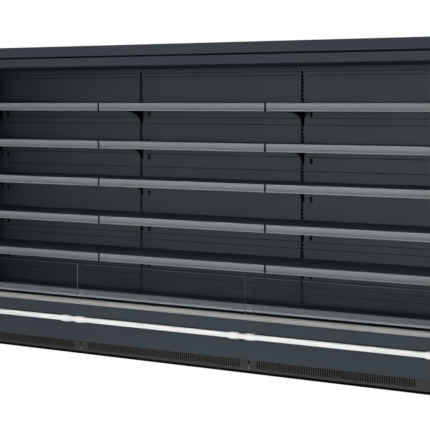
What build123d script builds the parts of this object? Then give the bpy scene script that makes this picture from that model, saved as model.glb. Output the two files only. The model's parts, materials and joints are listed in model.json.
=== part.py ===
"""Open multideck display fridge: three case modules in one row between two insulated end walls.

Millimetres. X runs along the row, the shopper stands on the -Y side, the floor is z = 0 and the
origin is the bottom centre of the row. "Front" is -Y and "rear" is +Y throughout.
"""

from build123d import *
import os
from math import atan2, cos, floor, sin

os.makedirs("parts", exist_ok=True)

# ------------------------------------------------------------------ the row
MODULE_NAMES = ("left", "middle", "right")
MODULE_PITCH = 1250.0        # joint to joint
END_WALL = 40.0
CASE_DEPTH = 950.0           # front of the bumper collars to the rear face
CASE_HEIGHT = 2005.0

# ------------------------------------------------------------------ sheet, gaps and fits
SHEET = 1.5                  # folded steel sheet
PANEL_SHEET = 1.2            # rear lining
TOUCH_GAP = 0.3              # running clearance between pieces that part
SLOT_FIT = 0.3               # clearance on each side of a piece in its slot or hole

# ------------------------------------------------------------------ feet, frame and tub
FOOT_RADIUS = 30.0           # hexagonal pad, across its corners
FOOT_PAD = 8.0
FOOT_STEM_RADIUS = 8.0
FOOT_HEIGHT = 38.0           # floor to the underside of the frame
BEAM_WIDTH = 40.0
BEAM_HEIGHT = 60.0
FRONT_RAIL_INSET = 225.0     # front of the collars to the front rail's centre
REAR_RAIL_INSET = 175.0      # rear face to the rear rail's centre
TUB_FLOOR = 45.0
TUB_FRONT_WALL = 40.0
REAR_WALL = 60.0

# ------------------------------------------------------------------ front, from the bumper inward
COLLAR_PROUD = 3.0
BUMPER_DEPTH = 24.0
BUMPER_HEIGHT = 30.0
BUMPER_WALL = 3.0
BUMPER_ROUND = 9.0
COLLAR_CHAMFER = 8.0
COLLAR_CAVITY_CHAMFER = 4.0  # stays outside the round of the bumper
BUMPER_AXIS = 240.0          # height of its centre line
CARRIER_DEPTH = 8.0
CARRIER_HEIGHT = 38.0
COLLAR_WIDTH = 58.0
COLLAR_HEIGHT = 40.0
COLLAR_SPACING = 110.0       # between the centres of a pair
PANEL_TO_TUB = 15.0          # air gap behind the front panel
FRONT_PANEL_TOP = 339.0
RAIL_HEIGHT = 28.0
RAIL_OVERHANG = 15.0         # hand rail in front of the front panel
RAIL_DEPTH = 35.0
RAIL_WALL = 3.0
RAIL_GROOVE_HEIGHT = 13.0
RAIL_GROOVE_DEPTH = 2.5

# ------------------------------------------------------------------ glass riser and its channel
GLASS = 6.0
GLASS_HEIGHT = 243.0
GLASS_END_GAP = 28.0         # joint to the edge of a pane
GLASS_SETBACK = 47.0         # rear of the hand rail to the glass
GLASS_BED = 4.5              # base of the channel under the glass
CHANNEL_LIP = 8.0            # grip of the channel on the glass
CHANNEL_STEP = 27.0          # width of its front cheek
UPSTAND_GAP = 18.0           # glass to the upstand that carries the return grille
UPSTAND = 8.0

# ------------------------------------------------------------------ return-air grille and deck
GRILLE_TOP = 384.4
GRILLE_LIP = 12.6
INTAKE_SLOTS = 4             # in each module
INTAKE_BAR = 50.0            # between two intake slots
INTAKE_WIDTH = 14.0
INTAKE_SETBACK = 60.0        # grille lip to the centre of the slots
DECK_TOP = 290.0
DECK_FLANGE = 25.0
DECK_GAP = 3.0               # around a lift-out tray

# ------------------------------------------------------------------ plinth
PLINTH_SETBACK = 100.0       # front of the collars to the plinth face
PLINTH_SHEET = 2.0
PLINTH_RETURN = 15.0
PLINTH_BASE = 16.6
PLINTH_TOP = 94.0
PLINTH_JOINT = 2.0           # gap between two panels
VENT_PITCH = 15.0
VENT_WIDTH = 7.0
VENT_BOTTOM = 33.0
VENT_TOP = 80.0
VENT_MARGIN = 60.0           # joint to the nearest slot
SERVICE_BLANK = 183.0        # plain end of the right panel, in front of the wiring box
SEAL_DEPTH = 8.0
BUTTON_RADIUS = 7.0
BUTTON_HEAD = 3.0
BUTTON_SHANK = 3.5
BUTTON_AXIS = 69.0

# ------------------------------------------------------------------ canopy
CANOPY_SETBACK = 80.0        # front of the collars to the upper band
UPPER_BAND_HEIGHT = 66.0     # down from the top of the case
GROOVE_HEIGHT = 11.5
LOWER_BAND_HEIGHT = 54.5
LOWER_BAND_STEP = 2.0        # lower band behind the upper band
GROOVE_STRIP = 3.0
BAND_RETURN = 12.0           # upper band to the roof's front face
TOP_RETURN = 55.0
ROOF = 58.5
ROOF_APRON = 33.0
OUTLET_DEPTH = 80.0
OUTLET_HEIGHT = 30.0
OUTLET_WALL = 6.0
OUTLET_CELLS = 3             # windows in each module
LINER_UPTURN = 22.0
LINER_DOWNTURN = 19.0
PANEL_TO_LINER = 2.0

# ------------------------------------------------------------------ rear lining and uprights
AIR_DUCT = 42.0              # rear wall to the face of the uprights
UPRIGHT_WIDTH = 40.0
UPRIGHT_SHEET = 2.5
PANEL_RETURN = 20.0          # uprights lie this far behind the lining
PANEL_JOINT = 24.0           # open gap in front of an upright
CABLE_SLOT_WIDTH = 15.0
CABLE_SLOT_HEIGHT = 32.0
CABLE_SLOT_OFFSET = 63.0     # joint to the cable slots
UPPER_CABLE_SLOTS = (73.0, 266.0)    # centres below the top ticket strip
CABLE_SLOT_DROP = 125.0      # centres below the other ticket strips
SLOT_PITCH = 25.0
SLOT_HEIGHT = 13.0
SLOT_WIDTH = 20.0
END_SLOT_WIDTH = 8.0
SLOT_LAND = 30.0             # plain end of an upright below the canopy
END_SLOT_STEP = 2            # the narrow end uprights have every second slot

# ------------------------------------------------------------------ shelves
SHELF_LEVELS = 5
SHELF_STEPS = 10             # slot pitches from one shelf to the next
LOWEST_STRIP_TOP = 636.0
SHELF_DEPTH = 503.0
SHELF_WALL_GAP = 8.0
SHELF_GAP = 3.0              # joint to the side of a tray
SHELF_FRONT_FLANGE = 38.0
SHELF_SIDE_FLANGE = 30.0
SHELF_REAR_FLANGE = 25.0
STRIP_DEPTH = 10.0
STRIP_HEIGHT = 50.0
STRIP_ABOVE_SHELF = 10.0
STRIP_GAP = 4.0              # joint to the end of a strip
STRIP_LIP = 7.0
STRIP_RECESS = 3.0
STRIP_CHAMFER = 2.0
BRACKET_SHEET = 3.0
BRACKET_OFFSET = 6.5         # joint to the middle of a bracket plate
BRACKET_ROOT = 140.0         # below the top of the ticket strip, at the lining
BRACKET_NOSE = 30.0          # the same, at the front end
BRACKET_WAIST = 61.0         # the same, where the curve runs out
BRACKET_CURVE = 155.0        # reach of the curve from the lining
BRACKET_FACETS = 4           # chords of that curve, on thirty plates
BRACKET_FRONT_GAP = 8.0
HOOK_DROP = 6.0
HOOK_SPAN = 4                # slot pitches between the two hooks

# ------------------------------------------------------------------ cooling
COIL_DEPTH = 259.0
COIL_REAR_GAP = 4.0
COIL_OVERHANG = 6.0          # cover over the fins, front and rear
COIL_END_GAP = 95.0          # end wall to the coil
COIL_PLATES = 4              # end plates and supports between them
COIL_PLATE = 3.0
HEADER_WIDTH = 34.0
HEADER_HEIGHT = 70.0
PLENUM_SHEET = 2.0
PLENUM_FOOT = 28.0
PLENUM_LEDGE = 40.0
PLENUM_COIL_GAP = 2.0
FAN_HOLE_RADIUS = 90.0
FAN_HOLE_SIDES = 24
FAN_TIP_GAP = 5.0
FAN_HUB_RADIUS = 28.0
FAN_HUB_DEPTH = 28.0
FAN_BLADES = 5
BLADE_ROOT_CHORD = 34.0
BLADE_SHEET = 2.0
BLADE_CHORD = 58.0
BLADE_CLIP = 9.0
BLADE_ANGLE = 25.0
MOTOR_RADIUS = 30.0
MOTOR_DEPTH = 42.0
MOTOR_STANDOFF = 18.0        # fan plate to the spider
MOTOR_SPINDLE = 10.0         # radius of the spindle boss
SPIDER_ARMS = 3
ARM_WIDTH = 12.0
ARM_SHEET = 4.0
ARM_FOOT = 10.0
ROUND_SIDES = 12             # sides of the round parts that the tub hides
DRAIN_RADIUS = 20.0          # hose spigot below the tub
DRAIN_WALL = 3.0
DRAIN_SHOULDER = 2.5         # body in the tub, larger in radius than the spigot
DRAIN_FLANGE = 12.0
DRAIN_FLANGE_SHEET = 2.0
DRAIN_X = 300.0
DRAIN_INSET = 375.0          # front of the collars to the drain
DRAIN_REACH = 38.0           # tub to the lower end of the drain and of the pipe stubs
STUB_LENGTH = 30.0           # plain end that a hose or coupling goes over
SUCTION_RADIUS = 11.0        # swaged stub of the suction pipe
LIQUID_RADIUS = 6.0
PIPE_SWAGE = 1.0             # stub over pipe, in radius
PIPE_SPACING = 40.0
PIPE_INSET = 225.0           # rear face to the suction pipe

# ------------------------------------------------------------------ stations along X
MODULES = len(MODULE_NAMES)
HALF_ROW = MODULES * MODULE_PITCH / 2
HALF_LENGTH = HALF_ROW + END_WALL
JOINTS = [-HALF_ROW + MODULE_PITCH * i for i in range(MODULES + 1)]
MODULE_CENTRES = [(a + b) / 2 for a, b in zip(JOINTS, JOINTS[1:])]

# ------------------------------------------------------------------ stations along Y
FRONT = -CASE_DEPTH / 2
REAR = CASE_DEPTH / 2
BUMPER_FRONT = FRONT + COLLAR_PROUD
CARRIER_FRONT = BUMPER_FRONT + BUMPER_DEPTH
PANEL_FACE = CARRIER_FRONT + CARRIER_DEPTH
TUB_FRONT = PANEL_FACE + PANEL_TO_TUB
RAIL_FRONT = PANEL_FACE - RAIL_OVERHANG
RAIL_REAR = RAIL_FRONT + RAIL_DEPTH
GLASS_FRONT = RAIL_REAR + GLASS_SETBACK
GLASS_REAR = GLASS_FRONT + GLASS
UPSTAND_FRONT = GLASS_REAR + UPSTAND_GAP - UPSTAND + 2 * TOUCH_GAP
UPSTAND_REAR = UPSTAND_FRONT + UPSTAND
PLINTH_FACE = FRONT + PLINTH_SETBACK
BAND_FACE = FRONT + CANOPY_SETBACK
ROOF_FRONT = BAND_FACE + BAND_RETURN
OUTLET_FRONT = ROOF_FRONT + ROOF_APRON
OUTLET_REAR = OUTLET_FRONT + OUTLET_DEPTH
REAR_WALL_FACE = REAR - REAR_WALL
UPRIGHT_FACE = REAR_WALL_FACE - AIR_DUCT
LINING = UPRIGHT_FACE - PANEL_RETURN
SHELF_REAR = LINING - SHELF_WALL_GAP
SHELF_FRONT = SHELF_REAR - SHELF_DEPTH
STRIP_FRONT = SHELF_FRONT - STRIP_DEPTH
GRILLE_REAR = STRIP_FRONT
DECK_FRONT = GRILLE_REAR + DECK_GAP
COIL_COVER_REAR = LINING - COIL_REAR_GAP
COIL_COVER_FRONT = COIL_COVER_REAR - COIL_DEPTH

# ------------------------------------------------------------------ stations along Z
TUB_BASE = FOOT_HEIGHT + BEAM_HEIGHT
TUB_TOP = TUB_BASE + TUB_FLOOR
CHANNEL_BASE = FRONT_PANEL_TOP - SHEET
GLASS_BASE = CHANNEL_BASE + GLASS_BED
WELL_SEAT = DECK_TOP - DECK_FLANGE
ROOF_TOP = CASE_HEIGHT - SHEET
ROOF_BASE = ROOF_TOP - ROOF
UPPER_BAND_BASE = CASE_HEIGHT - UPPER_BAND_HEIGHT
LOWER_BAND_TOP = UPPER_BAND_BASE - GROOVE_HEIGHT
CANOPY_BOTTOM = LOWER_BAND_TOP - LOWER_BAND_HEIGHT
SHELF_PITCH = SHELF_STEPS * SLOT_PITCH
STRIP_TOPS = [LOWEST_STRIP_TOP + SHELF_PITCH * i for i in reversed(range(SHELF_LEVELS))]
PANEL_TOP = CANOPY_BOTTOM - PANEL_TO_LINER
PANEL_BASE = WELL_SEAT + SHEET


def across(x):
    """The plane square to the row at x. Its sketch axes run along y and z."""
    return Plane.YZ.offset(x)


def block(x_range, y_range, z_range, mode=Mode.ADD):
    """A rectangular block between two corners, in the piece being built."""
    middle = tuple(sum(span) / 2 for span in (x_range, y_range, z_range))
    size = [span[1] - span[0] for span in (x_range, y_range, z_range)]
    with Locations(middle):
        Box(*size, mode=mode)


def folded(x_range, outline, sheet, side=Side.LEFT):
    """A sheet folded along the row: its outer faces in (y, z), its thickness on one side."""
    with BuildSketch(across(x_range[0])) as profile:
        with BuildLine():
            Polyline(outline)
            offset(amount=sheet, side=side, kind=Kind.INTERSECTION)
        make_face()
    extrude(profile.sketch, amount=x_range[1] - x_range[0])


def extruded(x_range, outline):
    """A solid profile in (y, z), extruded along the row."""
    with BuildSketch(across(x_range[0])) as profile:
        with BuildLine():
            Polyline(outline, close=True)
        make_face()
    extrude(profile.sketch, amount=x_range[1] - x_range[0])


def window_row(centres, y_range, z_range, width):
    """Rectangular windows cut through the piece being built, one at each x centre."""
    for x in centres:
        block((x - width / 2, x + width / 2), y_range, z_range, mode=Mode.SUBTRACT)


def spread(start, stop, count):
    """The middles of equal cells between two ends."""
    cell = (stop - start) / count
    return [start + cell * (i + 0.5) for i in range(count)]


def bay(index, gap):
    """The x range of a module, less a gap at each joint."""
    return (JOINTS[index] + gap, JOINTS[index + 1] - gap)


ROW = (-HALF_ROW, HALF_ROW)
WHOLE = (-HALF_LENGTH, HALF_LENGTH)

# ================================================================== base
BEARERS = [JOINTS[0] + BEAM_WIDTH / 2] + JOINTS[1:-1] + [JOINTS[-1] - BEAM_WIDTH / 2]
RAIL_SPANS = [(a + BEAM_WIDTH / 2, b - BEAM_WIDTH / 2) for a, b in zip(BEARERS, BEARERS[1:])]
BEARER_FRONT = PLINTH_FACE + PLINTH_RETURN
BEARER_REAR = REAR - BEAM_WIDTH
FRONT_RAIL = FRONT + FRONT_RAIL_INSET
REAR_RAIL = REAR - REAR_RAIL_INSET
FRAME_Z = (FOOT_HEIGHT, TUB_BASE)

with BuildPart() as frame_bearers:
    for bearer in BEARERS:
        block((bearer - BEAM_WIDTH / 2, bearer + BEAM_WIDTH / 2), (BEARER_FRONT, BEARER_REAR), FRAME_Z)
frame_bearers.part.label = "frame_bearers"
export_step(frame_bearers.part, "parts/frame_bearers.step")

with BuildPart() as frame_rails:
    for rail in (FRONT_RAIL, REAR_RAIL):
        for span in RAIL_SPANS:
            block(span, (rail - BEAM_WIDTH / 2, rail + BEAM_WIDTH / 2), FRAME_Z)
frame_rails.part.label = "frame_rails"
export_step(frame_rails.part, "parts/frame_rails.step")

FEET = [(x, y) for x in BEARERS for y in (FRONT_RAIL, REAR_RAIL)]

with BuildPart() as levelling_feet:
    with BuildSketch():
        with Locations(FEET):
            RegularPolygon(FOOT_RADIUS, 6)
    extrude(amount=FOOT_PAD)
    with BuildSketch(Plane.XY.offset(FOOT_PAD)):
        with Locations(FEET):
            RegularPolygon(FOOT_STEM_RADIUS, 6)
    extrude(amount=FOOT_HEIGHT - FOOT_PAD)
levelling_feet.part.label = "levelling_feet"
export_step(levelling_feet.part, "parts/levelling_feet.step")

DRAIN = (DRAIN_X, FRONT + DRAIN_INSET)
DRAIN_BODY_RADIUS = DRAIN_RADIUS + DRAIN_SHOULDER
STUB_BASE = TUB_BASE - DRAIN_REACH
STUB_TOP = STUB_BASE + STUB_LENGTH
PIPE_X = HALF_ROW - COIL_END_GAP + HEADER_WIDTH / 2
SUCTION_Y = REAR - PIPE_INSET
LIQUID_Y = SUCTION_Y - PIPE_SPACING

with BuildPart() as base_tub:
    tub_outline = (
        (TUB_FRONT, TUB_BASE),
        (REAR, TUB_BASE),
        (REAR, TUB_TOP),
        (TUB_FRONT + TUB_FRONT_WALL, TUB_TOP),
        (TUB_FRONT + TUB_FRONT_WALL, CHANNEL_BASE),
        (TUB_FRONT, CHANNEL_BASE),
    )
    extruded(ROW, tub_outline)
    with Locations((*DRAIN, TUB_TOP)):
        Hole(DRAIN_BODY_RADIUS + SLOT_FIT)
    sleeve_x = (PIPE_X - SUCTION_RADIUS - SLOT_FIT, PIPE_X + SUCTION_RADIUS + SLOT_FIT)
    sleeve_y = (LIQUID_Y - LIQUID_RADIUS - SLOT_FIT, SUCTION_Y + SUCTION_RADIUS + SLOT_FIT)
    block(sleeve_x, sleeve_y, (TUB_BASE, TUB_TOP), mode=Mode.SUBTRACT)
base_tub.part.label = "base_tub"
export_step(base_tub.part, "parts/base_tub.step")

with BuildPart() as drain_outlet:
    upright_on_base = (Align.CENTER, Align.CENTER, Align.MIN)
    flange = 2 * (DRAIN_BODY_RADIUS + DRAIN_FLANGE)
    with Locations((*DRAIN, STUB_BASE)):
        Cylinder(DRAIN_RADIUS, STUB_LENGTH, align=upright_on_base)
    with BuildSketch(Plane.XY.offset(STUB_TOP)):
        with Locations(DRAIN):
            RegularPolygon(DRAIN_BODY_RADIUS, ROUND_SIDES)
    extrude(amount=TUB_TOP - STUB_TOP)
    with Locations((*DRAIN, TUB_TOP)):
        Box(flange, flange, DRAIN_FLANGE_SHEET, align=upright_on_base)
    with BuildSketch(Plane.XY.offset(STUB_BASE)):
        with Locations(DRAIN):
            RegularPolygon(DRAIN_RADIUS - DRAIN_WALL, ROUND_SIDES)
    extrude(amount=TUB_TOP + DRAIN_FLANGE_SHEET - STUB_BASE, mode=Mode.SUBTRACT)
drain_outlet.part.label = "drain_outlet"
export_step(drain_outlet.part, "parts/drain_outlet.step")

# ================================================================== insulated shell
with BuildPart() as rear_wall:
    block(ROW, (REAR_WALL_FACE, REAR), (TUB_TOP, ROOF_BASE))
rear_wall.part.label = "rear_wall"
export_step(rear_wall.part, "parts/rear_wall.step")

with BuildPart() as roof_panel:
    roof_outline = (
        (ROOF_FRONT, CANOPY_BOTTOM),
        (OUTLET_FRONT, CANOPY_BOTTOM),
        (OUTLET_FRONT, ROOF_BASE),
        (REAR, ROOF_BASE),
        (REAR, ROOF_TOP),
        (ROOF_FRONT, ROOF_TOP),
    )
    extruded(ROW, roof_outline)
roof_panel.part.label = "roof_panel"
export_step(roof_panel.part, "parts/roof_panel.step")

END_WALL_SHOULDER = 33.0     # hand rail's top to where the end wall reaches the canopy line
END_WALL_ROUND = 18.0
RAIL_TOP = FRONT_PANEL_TOP + RAIL_HEIGHT
end_wall_outline = (
    (PLINTH_FACE, PLINTH_BASE),
    (PLINTH_FACE, TUB_BASE),
    (RAIL_REAR, TUB_BASE),
    (RAIL_REAR, RAIL_TOP),
    (BAND_FACE, RAIL_TOP + END_WALL_SHOULDER),
    (BAND_FACE, CANOPY_BOTTOM),
    (ROOF_FRONT, CANOPY_BOTTOM),
    (ROOF_FRONT, ROOF_TOP),
    (REAR, ROOF_TOP),
    (REAR, PLINTH_BASE),
)
for side_name, inner_face in (("left", -HALF_LENGTH), ("right", HALF_ROW)):
    with BuildPart() as end_wall:
        with BuildSketch(across(inner_face)):
            with BuildLine():
                Polyline(end_wall_outline, close=True)
            make_face()
        extrude(amount=END_WALL)
        shoulder_edges = end_wall.edges().filter_by(Axis.X).filter_by_position(
            Axis.Z, RAIL_TOP - 1, RAIL_TOP + END_WALL_SHOULDER + 1
        )
        fillet(shoulder_edges, END_WALL_ROUND)
    end_wall.part.label = f"end_wall_{side_name}"
    export_step(end_wall.part, f"parts/end_wall_{side_name}.step")

# ================================================================== canopy
with BuildPart() as canopy_upper_band:
    upper_outline = (
        (BAND_FACE + TOP_RETURN, CASE_HEIGHT),
        (BAND_FACE, CASE_HEIGHT),
        (BAND_FACE, UPPER_BAND_BASE),
        (ROOF_FRONT, UPPER_BAND_BASE),
    )
    folded(WHOLE, upper_outline, SHEET)
canopy_upper_band.part.label = "canopy_upper_band"
export_step(canopy_upper_band.part, "parts/canopy_upper_band.step")

with BuildPart() as canopy_lower_band:
    lower_outline = (
        (ROOF_FRONT, LOWER_BAND_TOP),
        (BAND_FACE + LOWER_BAND_STEP, LOWER_BAND_TOP),
        (BAND_FACE + LOWER_BAND_STEP, CANOPY_BOTTOM),
        (ROOF_FRONT, CANOPY_BOTTOM),
    )
    folded(WHOLE, lower_outline, SHEET)
canopy_lower_band.part.label = "canopy_lower_band"
export_step(canopy_lower_band.part, "parts/canopy_lower_band.step")

with BuildPart() as canopy_groove_strip:
    block(WHOLE, (ROOF_FRONT - GROOVE_STRIP, ROOF_FRONT), (LOWER_BAND_TOP, UPPER_BAND_BASE))
canopy_groove_strip.part.label = "canopy_groove_strip"
export_step(canopy_groove_strip.part, "parts/canopy_groove_strip.step")

with BuildPart() as air_outlet_honeycomb:
    outlet_z = (CANOPY_BOTTOM, CANOPY_BOTTOM + OUTLET_HEIGHT)
    block(ROW, (OUTLET_FRONT, OUTLET_REAR), outlet_z)
    window = (OUTLET_FRONT + OUTLET_WALL, OUTLET_REAR - OUTLET_WALL)
    for index in range(MODULES):
        centres = spread(*bay(index, 0), OUTLET_CELLS)
        window_row(centres, window, outlet_z, MODULE_PITCH / OUTLET_CELLS - OUTLET_WALL)
air_outlet_honeycomb.part.label = "air_outlet_honeycomb"
export_step(air_outlet_honeycomb.part, "parts/air_outlet_honeycomb.step")

with BuildPart() as canopy_liner:
    liner_outline = (
        (OUTLET_REAR, CANOPY_BOTTOM + LINER_UPTURN),
        (OUTLET_REAR, CANOPY_BOTTOM),
        (LINING - SHEET, CANOPY_BOTTOM),
        (LINING - SHEET, CANOPY_BOTTOM - LINER_DOWNTURN),
    )
    folded(ROW, liner_outline, SHEET)
canopy_liner.part.label = "canopy_liner"
export_step(canopy_liner.part, "parts/canopy_liner.step")

# ================================================================== rear lining
CABLE_SLOTS = [STRIP_TOPS[0] - drop for drop in UPPER_CABLE_SLOTS]
CABLE_SLOTS += [top - CABLE_SLOT_DROP for top in STRIP_TOPS[1:]]

for index, module_name in enumerate(MODULE_NAMES):
    left, right = bay(index, PANEL_JOINT / 2)
    with BuildPart() as back_panel:
        with BuildSketch(Plane.XY.offset(PANEL_BASE)):
            with BuildLine():
                Polyline((left, UPRIGHT_FACE), (left, LINING), (right, LINING), (right, UPRIGHT_FACE))
                offset(amount=PANEL_SHEET, side=Side.LEFT, kind=Kind.INTERSECTION)
            make_face()
        extrude(amount=PANEL_TOP - PANEL_BASE)
        slot_x = JOINTS[index] + CABLE_SLOT_OFFSET
        for slot_z in CABLE_SLOTS:
            block(
                (slot_x - CABLE_SLOT_WIDTH / 2, slot_x + CABLE_SLOT_WIDTH / 2),
                (LINING, LINING + PANEL_SHEET),
                (slot_z - CABLE_SLOT_HEIGHT / 2, slot_z + CABLE_SLOT_HEIGHT / 2),
                mode=Mode.SUBTRACT,
            )
    back_panel.part.label = f"back_panel_{module_name}"
    export_step(back_panel.part, f"parts/back_panel_{module_name}.step")

# ================================================================== slotted uprights
SHELF_SEAT_DROP = STRIP_ABOVE_SHELF + SHEET       # ticket strip's top to the bracket's top edge
HOOK_GRID = LOWEST_STRIP_TOP - SHELF_SEAT_DROP - SLOT_HEIGHT
SLOTS_BELOW = floor((HOOK_GRID - DECK_TOP - SLOT_LAND) / SLOT_PITCH)
SLOTS_ABOVE = floor((CANOPY_BOTTOM - SLOT_LAND - HOOK_GRID) / SLOT_PITCH)
SLOT_LEVELS = [HOOK_GRID + SLOT_PITCH * i for i in range(-SLOTS_BELOW, SLOTS_ABOVE + 1)]

for index, joint in enumerate(JOINTS):
    at_left_end = index == 0
    at_right_end = index == MODULES
    west = joint if at_left_end else joint - UPRIGHT_WIDTH / 2
    east = joint if at_right_end else joint + UPRIGHT_WIDTH / 2
    slot_middle = joint
    slot_width = SLOT_WIDTH
    levels = SLOT_LEVELS
    if at_left_end or at_right_end:
        inward = 1 if at_left_end else -1
        slot_middle = joint + inward * BRACKET_OFFSET
        slot_width = END_SLOT_WIDTH
        levels = SLOT_LEVELS[SLOTS_BELOW % END_SLOT_STEP::END_SLOT_STEP]
    with BuildPart() as upright:
        with BuildSketch(Plane.XY.offset(TUB_TOP)):
            with BuildLine():
                Polyline(
                    (west, REAR_WALL_FACE), (west, UPRIGHT_FACE), (east, UPRIGHT_FACE), (east, REAR_WALL_FACE)
                )
                offset(amount=UPRIGHT_SHEET, side=Side.LEFT, kind=Kind.INTERSECTION)
            make_face()
        extrude(amount=ROOF_BASE - TUB_TOP)
        with BuildSketch(Plane.XZ.offset(-UPRIGHT_FACE)):
            with Locations([(slot_middle, level) for level in levels]):
                Rectangle(slot_width, SLOT_HEIGHT)
        extrude(amount=-UPRIGHT_SHEET, mode=Mode.SUBTRACT)
    upright.part.label = f"upright_{index + 1}"
    export_step(upright.part, f"parts/upright_{index + 1}.step")

# ================================================================== shelves
for level, strip_top in enumerate(STRIP_TOPS, start=1):
    surface = strip_top - STRIP_ABOVE_SHELF
    with BuildPart() as shelf:
        for index in range(MODULES):
            left, right = bay(index, SHELF_GAP)
            pan = ((SHELF_FRONT, surface - SHELF_FRONT_FLANGE), (SHELF_FRONT, surface), (SHELF_REAR, surface))
            folded((left, right), pan, SHEET, Side.RIGHT)
            for side in (left, right - SHEET):
                side_z = (surface - SHELF_SIDE_FLANGE, surface - SHEET)
                block((side, side + SHEET), (SHELF_FRONT + SHEET, SHELF_REAR), side_z)
            rear_x = bay(index, 2 * BRACKET_OFFSET)
            block(rear_x, (SHELF_REAR - SHEET, SHELF_REAR), (surface - SHELF_REAR_FLANGE, surface - SHEET))
    shelf.part.label = f"shelf_{level}"
    export_step(shelf.part, f"parts/shelf_{level}.step")

    with BuildPart() as price_strip:
        bottom = strip_top - STRIP_HEIGHT
        recess = STRIP_FRONT + STRIP_RECESS
        strip_outline = (
            (SHELF_FRONT, bottom),
            (SHELF_FRONT, strip_top),
            (STRIP_FRONT + STRIP_CHAMFER, strip_top),
            (STRIP_FRONT, strip_top - STRIP_CHAMFER),
            (STRIP_FRONT, strip_top - STRIP_LIP),
            (recess, strip_top - STRIP_LIP),
            (recess, bottom + STRIP_LIP),
            (STRIP_FRONT, bottom + STRIP_LIP),
            (STRIP_FRONT, bottom + STRIP_CHAMFER),
            (STRIP_FRONT + STRIP_CHAMFER, bottom),
        )
        for index in range(MODULES):
            extruded(bay(index, STRIP_GAP), strip_outline)
    price_strip.part.label = f"price_strips_{level}"
    export_step(price_strip.part, f"parts/price_strips_{level}.step")

# ------------------------------------------------------------------ brackets: a hook and a lug in the slots
BRACKET_TIP = SHELF_FRONT + SHEET + BRACKET_FRONT_GAP
HOOK_INSIDE = UPRIGHT_FACE + UPRIGHT_SHEET + TOUCH_GAP
HOOK_REACH = HOOK_INSIDE + BRACKET_SHEET


def bracket_outline(strip_top):
    """The outline of a bracket plate in (y, z), drawn with lines and the chords of one curve."""
    seat = strip_top - SHELF_SEAT_DROP
    root = strip_top - BRACKET_ROOT
    waist = (LINING - BRACKET_CURVE, strip_top - BRACKET_WAIST)
    Polyline(
        waist,
        (BRACKET_TIP, strip_top - BRACKET_NOSE),
        (BRACKET_TIP, seat),
        (UPRIGHT_FACE, seat),
        (UPRIGHT_FACE, root),
        (LINING, root),
    )
    ends = (waist, (LINING, root))
    curve = TangentArc(ends, tangent=(BRACKET_CURVE, BRACKET_NOSE - BRACKET_WAIST), mode=Mode.PRIVATE)
    Polyline(*[curve @ (i / BRACKET_FACETS) for i in range(BRACKET_FACETS + 1)])


def hook(slot_middle):
    """The upper hook: a neck through its slot, then a drop behind the web of the upright."""
    top = slot_middle + SLOT_HEIGHT / 2 - SLOT_FIT
    Polyline(
        (UPRIGHT_FACE, top),
        (HOOK_REACH, top),
        (HOOK_REACH, slot_middle - HOOK_DROP),
        (HOOK_INSIDE, slot_middle - HOOK_DROP),
        (HOOK_INSIDE, slot_middle),
        (UPRIGHT_FACE, slot_middle),
        close=True,
    )


for index, joint in enumerate(JOINTS):
    sides = [side for side in (-1, 1) if JOINTS[0] < joint + side * BRACKET_OFFSET < JOINTS[-1]]
    with BuildPart() as brackets:
        for side in sides:
            plate = joint + side * BRACKET_OFFSET - BRACKET_SHEET / 2
            for strip_top in STRIP_TOPS:
                upper_slot = strip_top - SHELF_SEAT_DROP - SLOT_HEIGHT
                with BuildSketch(across(plate)):
                    with BuildLine():
                        bracket_outline(strip_top)
                    make_face()
                    with BuildLine():
                        hook(upper_slot)
                    make_face()
                    lug_height = SLOT_HEIGHT / 2
                    with Locations((UPRIGHT_FACE, upper_slot - HOOK_SPAN * SLOT_PITCH)):
                        Rectangle(HOOK_REACH - UPRIGHT_FACE, lug_height, align=(Align.MIN, Align.CENTER))
                extrude(amount=BRACKET_SHEET)
    brackets.part.label = f"shelf_brackets_{index + 1}"
    export_step(brackets.part, f"parts/shelf_brackets_{index + 1}.step")

# ================================================================== front: panel, bumper, rail
with BuildPart() as front_panel:
    front_outline = (
        (RAIL_REAR, FRONT_PANEL_TOP),
        (PANEL_FACE, FRONT_PANEL_TOP),
        (PANEL_FACE, TUB_BASE),
        (TUB_FRONT, TUB_BASE),
    )
    folded(WHOLE, front_outline, SHEET)
front_panel.part.label = "front_panel"
export_step(front_panel.part, "parts/front_panel.step")

with BuildPart() as hand_rail:
    rail_middle = FRONT_PANEL_TOP + RAIL_HEIGHT / 2
    rail_rear = RAIL_FRONT + RAIL_DEPTH
    with BuildSketch(across(-HALF_LENGTH)):
        with BuildLine():
            Polyline(
                (RAIL_FRONT, FRONT_PANEL_TOP),
                (rail_rear, FRONT_PANEL_TOP),
                (rail_rear, RAIL_TOP),
                (RAIL_FRONT, RAIL_TOP),
                (RAIL_FRONT, rail_middle + RAIL_GROOVE_HEIGHT / 2),
                (RAIL_FRONT + RAIL_GROOVE_DEPTH, rail_middle + RAIL_GROOVE_HEIGHT / 2),
                (RAIL_FRONT + RAIL_GROOVE_DEPTH, rail_middle - RAIL_GROOVE_HEIGHT / 2),
                (RAIL_FRONT, rail_middle - RAIL_GROOVE_HEIGHT / 2),
                close=True,
            )
        make_face()
        hollow_front = RAIL_FRONT + RAIL_GROOVE_DEPTH + RAIL_WALL
        hollow_rear = rail_rear - RAIL_WALL
        with Locations(((hollow_front + hollow_rear) / 2, rail_middle)):
            Rectangle(hollow_rear - hollow_front, RAIL_HEIGHT - 2 * RAIL_WALL, mode=Mode.SUBTRACT)
    extrude(amount=2 * HALF_LENGTH)
hand_rail.part.label = "hand_rail"
export_step(hand_rail.part, "parts/hand_rail.step")

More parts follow.
